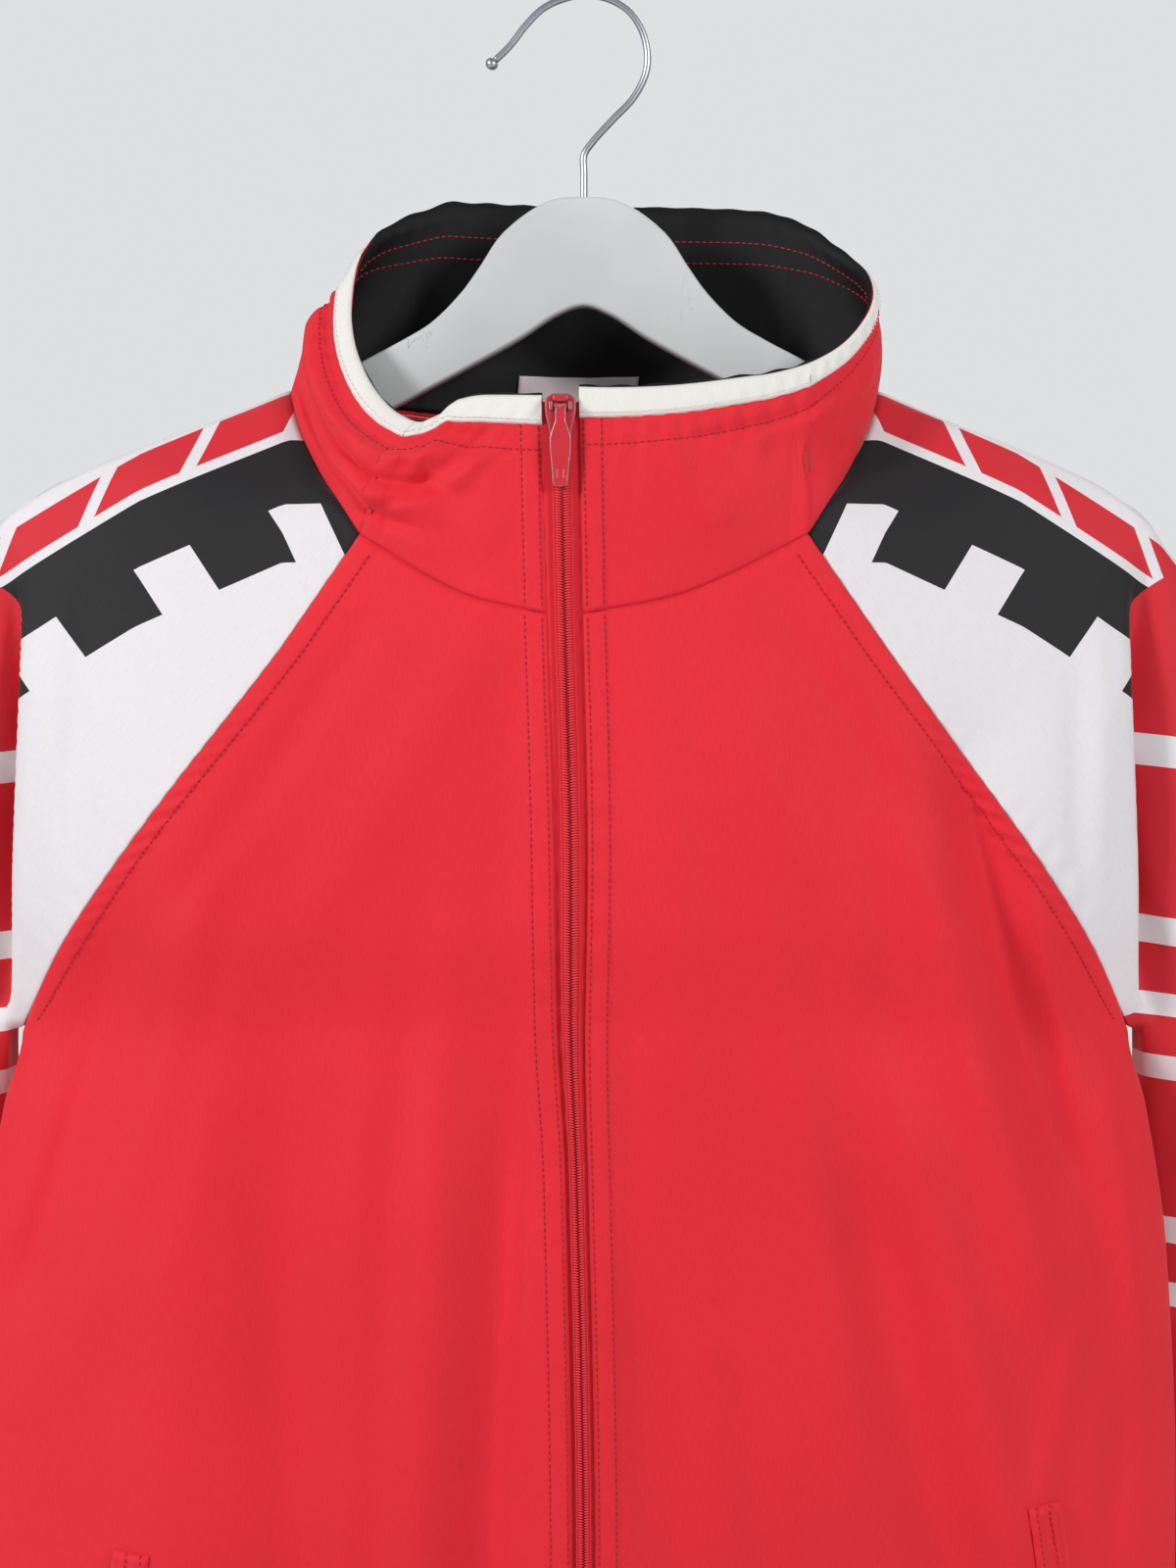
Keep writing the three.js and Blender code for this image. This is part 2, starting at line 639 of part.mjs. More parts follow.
// A flat shape in X and Z, given thickness towards the front, from a plane at a given Y
function slab(shape, backY0, thick, holes = []) {
  shape.holes.push(...holes);
  const geometry = new THREE.ExtrudeGeometry(shape, { depth: thick, bevelEnabled: false, curveSegments: 6 });
  geometry.rotateX(Math.PI / 2);
  geometry.translate(0, backY0, 0);
  return geometry;
}
function outline(points) {
  const shape = new THREE.Shape();
  points.forEach(([x, z], k) => (k === 0 ? shape.moveTo(x, z) : shape.lineTo(x, z)));
  return shape;
}
const slider = { x: -10, top: -184, waist: -193, bottom: -205, halfTop: 6.6, halfBottom: 4.6, back: -63.2, thick: 2.6 };
const pin = { y: slider.back - slider.thick - 1.5, z: -189.5, radius: 1.1 };
const ear = { inner: 3.4, outer: 4.9, half: 1.5 };
const plate = slab(
  outline([
    [slider.x - slider.halfTop, slider.top],
    [slider.x - slider.halfTop, slider.waist],
    [slider.x - slider.halfBottom, slider.bottom],
    [slider.x + slider.halfBottom, slider.bottom],
    [slider.x + slider.halfTop, slider.waist],
    [slider.x + slider.halfTop, slider.top],
  ]),
  slider.back,
  slider.thick,
);
let sliderSolid = solidOf(plate);
for (const hand of [-1, 1]) {
  const deep = 3.4;
  const box = new THREE.BoxGeometry(ear.outer - ear.inner, deep, ear.half * 2);
  const middle = (ear.outer + ear.inner) / 2;
  box.translate(slider.x + hand * middle, slider.back - slider.thick + 0.4 - deep / 2, pin.z);
  sliderSolid = sliderSolid.add(solidOf(box));
}
add('zip_slider', geometryOf(sliderSolid), 'red');

const pull = { halfTop: 5.2, halfWaist: 3.2, bottom: -225.5, thick: 1.3, shoulder: -202 };
const pullWindow = outline([
  [slider.x - 1.6, pull.shoulder - 4],
  [slider.x + 1.6, pull.shoulder - 4],
  [slider.x + 1.1, pull.shoulder - 11],
  [slider.x - 1.1, pull.shoulder - 11],
]);
const tab = slab(
  outline([
    [slider.x - 2.4, pin.z],
    [slider.x - 2.4, pull.shoulder + 6],
    [slider.x - pull.halfTop, pull.shoulder],
    [slider.x - pull.halfTop, pull.shoulder - 6],
    [slider.x - pull.halfWaist, pull.bottom + 1.5],
    [slider.x - pull.halfWaist + 1.2, pull.bottom],
    [slider.x + pull.halfWaist - 1.2, pull.bottom],
    [slider.x + pull.halfWaist, pull.bottom + 1.5],
    [slider.x + pull.halfTop, pull.shoulder - 6],
    [slider.x + pull.halfTop, pull.shoulder],
    [slider.x + 2.4, pull.shoulder + 6],
    [slider.x + 2.4, pin.z],
  ]),
  pin.y + pull.thick / 2,
  pull.thick,
  [pullWindow],
);
const barrel = new THREE.CylinderGeometry(pin.radius, pin.radius, (ear.inner - seamGap) * 2, 12);
barrel.rotateZ(Math.PI / 2);
barrel.translate(slider.x, pin.y, pin.z);
add('zip_pull', geometryOf(solidOf(tab).add(solidOf(barrel))), 'red');

// Pocket welts, laid on the fronts
function columnAt(row, x) {
  let k = 0;
  while (k < row.length - 2 && Math.abs(row[k + 1].x) < Math.abs(x)) k += 1;
  return k + (x - row[k].x) / (row[k + 1].x - row[k].x);
}
function onPanel(rows, i, x) {
  const a = Math.floor(i);
  const at = (row) => {
    const c = columnAt(row, x);
    const k = Math.min(row.length - 2, Math.floor(c));
    return row[k].clone().lerp(row[k + 1], c - k);
  };
  return at(rows[a]).lerp(at(rows[Math.min(rows.length - 1, a + 1)]), i - a);
}
const welt = { half: 7.5, wall: 1.2, rowStep: 0.5 };
const weltShift = clothWall / 2 + 1 + welt.wall / 2;
const welts = [
  { name: 'pocket_welt_right', panel: frontRight, topX: 200, bottomX: 221, topRow: 20.87, bottomRow: 25.5 },
  { name: 'pocket_welt_left', panel: frontLeft, topX: -196, bottomX: -217, topRow: 21.52, bottomRow: 26.1 },
];
for (const { name, panel, topX, bottomX, topRow, bottomRow } of welts) {
  const stations = [topRow];
  for (let at = Math.ceil(topRow + 0.1); at < bottomRow - 0.05; at += welt.rowStep) stations.push(at);
  stations.push(bottomRow);
  const rows = stations.map((at) => {
    const x = lerp(topX, bottomX, (at - topRow) / (bottomRow - topRow));
    return [-1, 0, 1].map((k) => onPanel(panel, at, x + k * welt.half));
  });
  addDirections(rows, -1);
  add(name, clothWallOn(rows, welt.wall, weltShift, open, 0.1), 'red');
}

// Hem band, open at the zip, and the two cuffs
const ribShareCols = 8;
function hemRow(z) {
  const half = read(levels, 'z', z, 'half');
  const points = [];
  const start = zipX(z) + zipOpen(z);
  for (let j = 0; j <= ribShareCols; j += 1) {
    const x = lerp(start, half, Math.sin(((j / ribShareCols) * Math.PI) / 2));
    points.push(new THREE.Vector3(x, j === ribShareCols ? sideSeamY : frontY(x, z), z));
  }
  for (let j = 1; j < ribShareCols * 2; j += 1) {
    const x = half * Math.cos((j / (ribShareCols * 2)) * Math.PI);
    points.push(new THREE.Vector3(x, backY(x, z), z));
  }
  const finishX = zipX(z) - zipOpen(z);
  for (let j = ribShareCols; j >= 0; j -= 1) {
    const x = lerp(finishX, -half, Math.sin(((j / ribShareCols) * Math.PI) / 2));
    points.push(new THREE.Vector3(x, j === ribShareCols ? sideSeamY : frontY(x, z), z));
  }
  return points;
}
const ribDrop = 0.6;
const hem = widened([bodyEndZ - ribDrop, lerp(bodyEndZ, hemEndZ, 0.5), hemEndZ].map(hemRow));
addDirections(hem, -1);
add('hem_band', clothWallOn(hem, ribWall, 0, open, 0.02), 'red');

for (const [name, hand, sleeve] of [['cuff_right', 1, sleeveRight], ['cuff_left', -1, sleeveLeft]]) {
  const ring = sleeve[sleeve.length - 1];
  const centre = ring.reduce((sum, p) => sum.add(p), new THREE.Vector3()).divideScalar(ring.length);
  const rows = [[0, 0.97], [0.5, 0.9], [1, 0.88]].map(([f, size]) =>
    ring.map((p) => {
      const q = p.clone().sub(centre).multiplyScalar(size).add(centre);
      q.z = lerp(sleeveEndZ - ribDrop, cuffEndZ, f);
      return q;
    }),
  );
  addDirections(rows, -hand);
  add(name, clothWallOn(rows, ribWall, 0, closed, 0.02), 'red');
}

// Hanger: one flat body, thin bevels round its edge, and a wire hook with a ball tip
const hangerTop = [
  [0, -89], [16, -91], [36, -105], [47, -121], [55, -132], [68, -145], [81, -153], [98, -162], [106, -167],
  [122, -184], [131, -187.5], [160, -197], [190, -209.5], [244, -244], [248, -249],
];
const hangerUnder = [[249.5, -257], [245, -264.5], [220, -255], [86, -184], [30, -153.5], [12, -142], [0, -138]];
const hangerHalfShape = [...hangerTop, ...hangerUnder];
const hangerMirror = hangerHalfShape.slice(1, -1).reverse().map(([x, z]) => [-x, z]);
const bevel = 1.5;
const hangerShape = [...hangerHalfShape, ...hangerMirror].map(([x, z]) => [widen(x), z]);
const hangerBody = new THREE.ExtrudeGeometry(outline(hangerShape), {
  depth: hangerHalf * 2 - bevel * 2,
  bevelEnabled: true,
  bevelThickness: bevel,
  bevelSize: bevel,
  bevelOffset: -bevel,
  bevelSegments: 1,
});
hangerBody.rotateX(Math.PI / 2);
hangerBody.translate(0, hangerHalf - bevel, 0);
add('hanger_body', geometryOf(solidOf(hangerBody)), 'hanger');

const hookPoints = [
  [0, -88.6], [0, -78], [0, -70], [3.5, -64.5], [13, -54], [22, -44.5], [27.4, -34], [28.4, -25], [26, -14.5],
  [20, -5.5], [11, -0.2], [0, 1.6], [-10, -0.4], [-18.5, -4.6], [-26, -12], [-33, -21], [-39.5, -27.5],
].map(([x, z]) => new THREE.Vector3(x, 0, z));
const hookPath = new THREE.CatmullRomCurve3(hookPoints);
const wireSides = 10;
const wireShape = new THREE.Shape();
for (let k = 0; k < wireSides; k += 1) {
  const turn = (k / wireSides) * Math.PI * 2;
  const at = [wireRadius * Math.cos(turn), wireRadius * Math.sin(turn)];
  if (k === 0) wireShape.moveTo(...at);
  else wireShape.lineTo(...at);
}
const wire = new THREE.ExtrudeGeometry(wireShape, { steps: 44, extrudePath: hookPath, bevelEnabled: false });
add('hanger_hook', geometryOf(solidOf(wire)), 'chrome');
const ballRadius = 2.9;
const ball = new THREE.SphereGeometry(ballRadius, 14, 10);
const hookEnd = hookPath.getPoint(1);
const away = hookPath.getTangent(1).multiplyScalar(ballRadius + seamGap);
ball.translate(hookEnd.x + away.x, hookEnd.y + away.y, hookEnd.z + away.z);
add('hook_tip', geometryOf(solidOf(ball)), 'chrome');

export default garment;
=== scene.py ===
"""Track jacket hanging on a flat hanger: cloth, trims, zip and hanger as fine surfaces.

All shapes are worked out in millimetres and go into the meshes in metres. The origin is the
top inside of the hook's bend, X to the viewer's right, the front faces -Y, Z up.
"""
import bmesh
import bpy
import numpy as np
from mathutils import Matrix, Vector


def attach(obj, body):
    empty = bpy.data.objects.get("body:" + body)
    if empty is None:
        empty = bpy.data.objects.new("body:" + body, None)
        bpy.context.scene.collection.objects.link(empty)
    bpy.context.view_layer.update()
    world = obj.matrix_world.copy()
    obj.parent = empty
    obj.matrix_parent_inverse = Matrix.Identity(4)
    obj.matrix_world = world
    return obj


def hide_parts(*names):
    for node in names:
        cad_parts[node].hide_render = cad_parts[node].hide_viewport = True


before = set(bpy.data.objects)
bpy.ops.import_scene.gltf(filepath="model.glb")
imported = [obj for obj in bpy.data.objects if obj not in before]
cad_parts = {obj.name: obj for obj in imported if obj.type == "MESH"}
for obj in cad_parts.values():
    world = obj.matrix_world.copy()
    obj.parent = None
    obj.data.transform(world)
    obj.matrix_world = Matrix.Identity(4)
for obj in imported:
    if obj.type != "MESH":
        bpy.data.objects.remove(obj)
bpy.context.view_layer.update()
MM = 0.001

# Driving dimensions, as in the construction
ARMPIT_Z = -461.5
BODY_END_Z = -845.0
HEM_END_Z = -900.0
SLEEVE_END_Z = -835.0
CUFF_END_Z = -890.0
NECK_FRONT_Z = -278.0
NECK_BACK_Z = -187.0
RIDGE_X, RIDGE_Z, RIDGE_SLOPE = 131.0, -175.0, 0.5625
SIDE_SEAM_Y = 4.0
CLOTH = 1.0

# Levels of the body: z, half width, front depth, back depth, front edge, back edge
LEVELS = np.array([
    (-170, 264, 54, 40, 9, 9), (-243, 262, 55, 42, 9, 9), (-300, 247, 58, 43, 11, 8),
    (-350, 245, 61, 43, 12, 7), (-410, 243.5, 66, 43, 7, 5), (-461.5, 240.5, 70, 43, -4, 4),
    (-494, 248, 71, 43, -4, 4), (-560, 257, 70, 42, -4, 4), (-660, 261, 66, 40, -4, 4),
    (-760, 259, 56, 37, -4, 4), (-815, 249, 46, 33, -4, 4), (-845, 236, 40, 31, -4, 4),
    (-900, 224, 37, 29, -4, 4)], float)
HALF, FRONT, BACK, FRONT_EDGE, BACK_EDGE = 1, 2, 3, 4, 5

# Folds of the fronts: x0, z0, x1, z1, half width, depth (plus stands out)
FOLDS = np.array([
    (165, -361, 200, -496, 12, -8), (150, -400, 192, -560, 14, 6.5), (128, -560, 166, -720, 15, -8),
    (146, -518, 180, -670, 14, 6.5), (232, -500, 246, -600, 10, 4), (-200, -435, -234, -560, 14, -8),
    (-165, -420, -180, -760, 26, 6.5), (-130, -560, -120, -800, 15, -7), (-34, -540, -48, -800, 12, -9),
    (-66, -540, -78, -800, 13, 7), (34, -600, 48, -820, 14, -5.5)], float)
# Finer creases of the fronts, too small for the construction
CREASES = np.array([
    (168, -366, 186, -450, 5, -2.4), (196, -410, 214, -500, 5, 2.0), (205, -470, 226, -560, 6, -2.2),
    (60, -320, 120, -420, 16, 2.2), (96, -296, 150, -380, 8, -1.8), (30, -300, 44, -470, 12, 1.8),
    (-50, -300, -110, -400, 15, 2.3), (-104, -300, -164, -390, 9, -2.0), (-30, -310, -46, -480, 12, -1.8),
    (-215, -470, -236, -540, 6, 2.0), (-186, -470, -212, -560, 6, -2.0), (-95, -520, -104, -700, 9, 2.2),
    (20, -480, 24, -640, 7, -1.8), (-22, -470, -28, -640, 6, 1.6), (-24, -650, -32, -830, 6, -2.2),
    (84, -430, 112, -620, 12, 2.4), (70, -620, 92, -830, 11, -2.6), (210, -600, 196, -664, 6, 2.0),
    (-150, -410, -176, -520, 10, -2.0), (-70, -420, -84, -560, 12, -2.0), (130, -430, 148, -520, 9, -2.0),
    (232, -640, 226, -720, 7, -2.0), (205, -820, 190, -845, 6, 2.0), (120, -800, 116, -845, 5, 2.0),
    (150, -790, 148, -845, 5, -2.0), (-150, -800, -146, -845, 5, -2.0), (-100, -800, -98, -845, 5, 2.0),
    (-190, -810, -186, -845, 5, 2.0), (-60, -810, -58, -845, 5, -1.6), (60, -810, 62, -845, 5, 1.6)], float)
BACK_FOLDS = np.array([
    (-150, -420, -178, -700, 17, -6), (-60, -560, -70, -820, 18, 6), (30, -500, 18, -800, 18, -6),
    (120, -470, 150, -760, 17, 6), (196, -440, 214, -620, 14, -5)], float)
BACK_CREASES = np.array([
    (-30, -260, -70, -360, 14, 1.6), (50, -250, 90, -360, 14, -1.6), (-190, -450, -215, -560, 8, 2),
    (170, -420, 205, -520, 7, 2), (0, -380, 8, -560, 12, 1.5), (-100, -500, -112, -680, 9, -2),
    (80, -600, 86, -780, 9, -2), (-150, -800, -146, -845, 5, -2), (-100, -800, -98, -845, 5, 2),
    (100, -800, 98, -845, 5, 2), (150, -805, 146, -845, 5, -2), (40, -800, 40, -845, 5, 1.8),
    (-30, -800, -30, -845, 5, -1.8), (200, -700, 208, -820, 8, 2), (-210, -640, -220, -800, 9, 2)], float)

# Zip line: z, centre x, half opening
ZIP_LINE = np.array([
    (-186, -10, 8.2), (-265, -8.5, 8.0), (-393, -5.5, 7.2), (-450, -5.5, 6.2), (-520, -3, 4.8),
    (-690, 0, 4.8), (-900, 0, 5)], float)

# Raglan seams: share of the way from the neck to the armpit, x, z
FRONT_SEAM = np.array([
    (0, 97, -243), (0.3, 142, -309), (0.5, 172, -351), (0.7, 200, -391), (0.85, 221, -424),
    (0.95, 234, -449), (1, 240.5, ARMPIT_Z)], float)
BACK_SEAM = np.array([
    (0, 84, -183), (0.3, 122, -257), (0.6, 168, -342), (0.85, 215, -417), (1, 240.5, ARMPIT_Z)], float)
NECK_DROP = np.array([(0, -278), (0.38, -271), (0.62, -262), (0.84, -251), (1, -243)], float)

# Sleeve guide lines: station (0 neck, 0.4 shoulder tip, 1 armpit, 2 end), x, y, z
OUTER = np.array([
    (0, 131, 0, -175), (0.2, 190, 0, -202.5), (0.4, 254, 2, -244), (0.48, 272, 5, -266),
    (0.6, 288, 9, -304), (0.8, 304, 14, -380), (1, 313, 20, ARMPIT_Z), (1.15, 317, 29, -510),
    (1.5, 328, 36, -660), (1.8, 330, 36, -760), (2, 328, 35, SLEEVE_END_Z)], float)
CREST = np.array([
    (0, 116, -27, -214), (0.2, 174, -21, -213), (0.4, 236, -15, -254), (0.6, 238, -24, -312),
    (0.8, 241, -21, -385), (0.95, 243, -9, -445), (1, 246, -3, ARMPIT_Z), (1.15, 250, 17, -510),
    (1.5, 257, 22, -660), (1.8, 263, 22, -760), (2, 268, 22, SLEEVE_END_Z)], float)
VALLEY = np.array([
    (0, 126, -14, -194), (0.2, 183, -12, -203.5), (0.4, 244, -10, -248), (0.6, 235, -8, -310),
    (0.8, 236, -4, -384), (0.95, 245, -2, -445), (1, 254, -5, ARMPIT_Z), (1.15, 260, 11, -510),
    (1.5, 269, 16, -660), (1.8, 275, 16, -760), (2, 280, 16, SLEEVE_END_Z)], float)
LOBE = np.array([
    (0, 130, -7, -181), (0.2, 188, -7, -200), (0.4, 252, -7, -243), (0.6, 256, -14, -306),
    (0.8, 266, -16, -382), (1, 276, -9, ARMPIT_Z), (1.15, 282, 6, -510), (1.5, 292, 11, -660),
    (1.8, 297, 11, -760), (2, 300, 11, SLEEVE_END_Z)], float)
LOBE_BACK = np.array([
    (0, 124, 13, -173), (0.2, 184, 11, -202.5), (0.4, 246, 16, -252), (0.6, 272, 36, -308),
    (0.8, 284, 47, -382), (1, 290, 53, ARMPIT_Z), (1.15, 292, 59, -510), (1.5, 299, 60, -660),
    (1.8, 303, 59, -760), (2, 304, 57, SLEEVE_END_Z)], float)
INNER = np.array([
    (1, 242.4, 5, -460.4), (1.05, 244, 17, -477), (1.15, 243, 33, -510), (1.5, 250, 38, -660),
    (1.8, 257, 38, -760), (2, 264, 37, SLEEVE_END_Z)], float)

# Collar: rim heights by turn (-1 front, 1 back) on the right and the left, and its rolls
RIM = np.array([
    (-1, -181, -184.5), (-0.88, -176, -183.6), (-0.82, -174.3, -185.3), (-0.78, -172.8, -190.5),
    (-0.7, -169.5, -194.5), (-0.6, -164.5, -190.5), (-0.5, -159, -183.5), (-0.32, -148, -168), (0, -131, -139),
    (0.2, -121.5, -118), (0.45, -110, -101), (0.65, -97.5, -92), (0.8, -90.5, -86), (1, -86.5, -86.5)], float)
RIM_HALF, RIM_X, RIM_DEPTH, RING_Y, NECK_HALF, COLLAR_BULGE = 115.5, 12.5, 53.0, -8.0, 131.0, 4.0
COLLAR_FRONT_Z, ZIP_REACH = -184.0, 58.0
# across, height, half width, half height, lean, depth
COLLAR_ROLLS = np.array([
    (-0.72, 0.6, 0.24, 0.42, 0, 6), (-0.5, 0.35, 0.12, 0.35, -0.5, -3), (0.8, 0.45, 0.14, 0.35, 0.2, -2.5),
    (-0.96, 0.8, 0.3, 0.35, 0, 6)], float)
# Finer creases of the collar: distance from the zip (left is negative) and height, twice, half width, depth
COLLAR_CREASES = np.array([
    (-46, 72, -150, 71, 2.6, -2.6), (-54, 61, -140, 59, 5.5, 3.0), (-60, 45, -150, 46, 4, -3.6),
    (-52, 32, -122, 31, 6, 2.6), (-74, 19, -146, 18, 4, -2.8), (-30, 68, -66, 34, 3.4, -2.6),
    (-24, 64, -46, 42, 4, 2.0), (-20, 30, -64, 12, 9, 1.6), (66, 66, 140, 71, 4, -1.6), (92, 52, 132, 22, 10, -3.0),
    (58, 30, 36, 62, 9, 1.6), (110, 60, 150, 50, 6, 1.8)], float)

# Beyond the neck the garment hangs wider than its tables, more so on its left
WIDER_FROM, WIDER_RIGHT, WIDER_LEFT = 131.0, 0.03, 0.1


def read(table, at, column):
    """A table's column at a key, by straight lines between its rows."""
    keys = table[:, 0]
    if keys[1] < keys[0]:
        return np.interp(-np.asarray(at, float), -keys, table[:, column])
    return np.interp(at, keys, table[:, column])


def eased(table, at, column):
    """A table's column at a key, by a cubic through its rows with limited slopes, so no kink shows."""
    keys, values = table[:, 0], table[:, column]
    if keys[1] < keys[0]:
        keys, at = -keys, -np.asarray(at, float)
    steps = np.diff(values) / np.diff(keys)
    slopes = np.zeros_like(values)
    same = steps[:-1] * steps[1:] > 0
    mean = 2 * steps[:-1] * steps[1:] / np.where(same, steps[:-1] + steps[1:], 1)
    slopes[1:-1] = np.where(same, mean, 0)
    slopes[0], slopes[-1] = steps[0], steps[-1]
    at = np.clip(at, keys[0], keys[-1])
    k = np.clip(np.searchsorted(keys, at, side="right") - 1, 0, len(keys) - 2)
    width = keys[k + 1] - keys[k]
    t = (at - keys[k]) / width
    start = (1 + 2 * t) * (1 - t) ** 2 * values[k] + t * (1 - t) ** 2 * width * slopes[k]
    return start + t * t * (3 - 2 * t) * values[k + 1] + t * t * (t - 1) * width * slopes[k + 1]


def lerp(a, b, f):
    return a + (b - a) * f


def stack(x, y, z):
    """Points from three arrays that stretch to one shape."""
    return np.stack(np.broadcast_arrays(x, y, z), axis=-1).astype(float)


def fold_depth(table, x, z):
    """Sum of straight soft troughs and ridges: a bell across each, fading past both ends."""
    total = np.zeros(np.broadcast(x, z).shape)
    for x0, z0, x1, z1, wide, deep in table:
        dx, dz = x1 - x0, z1 - z0
        run = dx * dx + dz * dz
        t = ((x - x0) * dx + (z - z0) * dz) / run
        across = ((x - x0) * dz - (z - z0) * dx) / np.sqrt(run)
        along = np.where(t < 0, t, np.where(t > 1, t - 1, 0)) / 0.25
        total += deep * np.exp(-(across / wide) ** 2 - along ** 2)
    return total


def ridge_z(x):
    return RIDGE_Z - RIDGE_SLOPE * (np.abs(x) - RIDGE_X)


def surface_y(x, z, side, edge, folds, creases, sign):
    """Depth of the front or back: an ellipse across the level, sinking towards the shoulder ridge."""
    half = eased(LEVELS, z, HALF)
    rounding = np.sqrt(np.maximum(0, 1 - (x / half) ** 2))
    below = 1 - np.exp(-np.maximum(0, ridge_z(x) - z) / 60)
    near = np.minimum(1, rounding * 2.2) * below
    out = eased(LEVELS, z, edge) + eased(LEVELS, z, side) * rounding * below
    relief = fold_depth(folds, x, z) + fold_depth(creases, x, z)
    return sign * (out + relief * near)


def front_y(x, z):
    return surface_y(x, z, FRONT, FRONT_EDGE, FOLDS, CREASES, -1)


def back_y(x, z):
    return surface_y(x, z, BACK, BACK_EDGE, BACK_FOLDS, BACK_CREASES, 1)


def zip_x(z):
    return eased(ZIP_LINE, z, 1)


def zip_open(z):
    return eased(ZIP_LINE, z, 2)


def widen(x):
    """A table's width carried out: beyond the neck it grows by a share of what lies past it."""
    beyond = np.maximum(0, np.abs(x) - WIDER_FROM)
    return np.where(x > 0, x + beyond * WIDER_RIGHT, x - beyond * WIDER_LEFT)


def widened(points):
    return stack(widen(points[..., 0]), points[..., 1], points[..., 2])


def rim_turn(x):
    """Turn of a point on the front half of the rim: minus the root of 1 less its squared share."""
    return -np.sqrt(np.maximum(0, 1 - ((x - RIM_X) / RIM_HALF) ** 2))


def collar_point(neck, f):
    """A neck point carried up to a share of the collar's height, with its bulge and rolls."""
    x, y, z = neck[..., 0], neck[..., 1], neck[..., 2]
    deep = np.where(y < RING_Y, 56, 50)
    angle = np.arctan2((y - RING_Y) / deep, x / NECK_HALF)
    turn, rounding = np.sin(angle), np.cos(angle)
    from_zip = np.abs(x - zip_x(NECK_FRONT_Z))
    near = np.where(y < RING_Y, np.clip(1 - (from_zip - 8.2) / ZIP_REACH, 0, 1), 0)
    beside_zip = x + zip_x(COLLAR_FRONT_Z) - zip_x(NECK_FRONT_Z)
    top_x = lerp(RIM_X + RIM_HALF * rounding, beside_zip, 1 - (1 - near) ** 2)
    top_turn = np.where(near > 0, rim_turn(top_x), turn)
    top_z = np.where(x > zip_x(NECK_FRONT_Z), eased(RIM, top_turn, 1), eased(RIM, top_turn, 2))
    out = np.sin(f * np.pi) * COLLAR_BULGE * lerp(1, 0.2, near)
    for at, height, wide, tall, lean, depth in COLLAR_ROLLS:
        across = (rounding - at - lean * (f - height)) / wide
        up = (f - height) / tall
        roll = depth * np.exp(-across ** 2 - up ** 4) * np.sin(f * np.pi)
        out = out + np.where(y < 0, roll, 0)
    return stack(lerp(x, top_x, f) + out * rounding, lerp(y, RING_Y + RIM_DEPTH * top_turn, f) + out * turn,
                 lerp(z, top_z, f))


def normals(points, flip=1):
    """Unit directions across a grid: the cross product of its two slopes."""
    across = np.cross(np.gradient(points, axis=0), np.gradient(points, axis=1)) * flip
    return across / np.maximum(np.linalg.norm(across, axis=-1, keepdims=True), 1e-9)


def arc_lengths(points, axis):
    """Distance along the grid's lines from their first point."""
    steps = np.linalg.norm(np.diff(points, axis=axis), axis=-1)
    lead = np.zeros_like(np.take(steps, [0], axis=axis))
    return np.cumsum(np.concatenate([lead, steps], axis=axis), axis=axis)


def grid_faces(rows, cols, flip):
    """Quads of a grid of points, as rows of four indices."""
    first = (np.arange(rows - 1)[:, None] * cols + np.arange(cols - 1)[None, :]).ravel()
    quads = np.stack([first, first + 1, first + cols + 1, first + cols], axis=1)
    return quads[:, ::-1] if flip else quads


def mesh_object(name, points, faces, uv=None, fields=None, merge=True):
    """An object at the origin from points in millimetres, faces, and values kept at each point."""
    mesh = bpy.data.meshes.new(name)
    flat = np.asarray(points, float).reshape(-1, 3) * MM
    faces = np.asarray(faces, int)
    mesh.vertices.add(len(flat))
    mesh.vertices.foreach_set("co", flat.ravel())
    mesh.loops.add(faces.size)
    mesh.loops.foreach_set("vertex_index", faces.ravel())
    mesh.polygons.add(len(faces))
    mesh.polygons.foreach_set("loop_start", np.arange(0, faces.size, faces.shape[1]))
    mesh.update(calc_edges=True)
    if uv is not None:
        layer = mesh.uv_layers.new(name="UVMap")
        layer.data.foreach_set("uv", np.asarray(uv, float).reshape(-1, 2)[faces.ravel()].ravel() * MM)
    for key, values in (fields or {}).items():
        layer = mesh.attributes.new(key, "FLOAT", "POINT")
        layer.data.foreach_set("value", np.asarray(values, float).ravel())
    mesh.polygons.foreach_set("use_smooth", np.ones(len(faces), bool))
    if merge:
        work = bmesh.new()
        work.from_mesh(mesh)
        bmesh.ops.remove_doubles(work, verts=work.verts, dist=2e-6)
        bmesh.ops.dissolve_degenerate(work, edges=work.edges, dist=1e-7)
        work.to_mesh(mesh)
        work.free()
    piece = bpy.data.objects.new(name, mesh)
    bpy.context.scene.collection.objects.link(piece)
    return piece


def sheet(name, points, side, fields=None, thick=CLOTH, uv=None):
    """A cloth panel on a grid, with its own thickness inwards and lengths in millimetres as its UV."""
    if uv is None:
        uv = np.stack([arc_lengths(points, 1), arc_lengths(points, 0)], axis=-1)
    rows, cols = points.shape[:2]
    piece = mesh_object(name, points, grid_faces(rows, cols, side > 0), uv, fields)
    if thick:
        wall = piece.modifiers.new("wall", "SOLIDIFY")
        wall.thickness = thick * MM
        wall.offset = -1
        wall.use_even_offset = False
    return piece


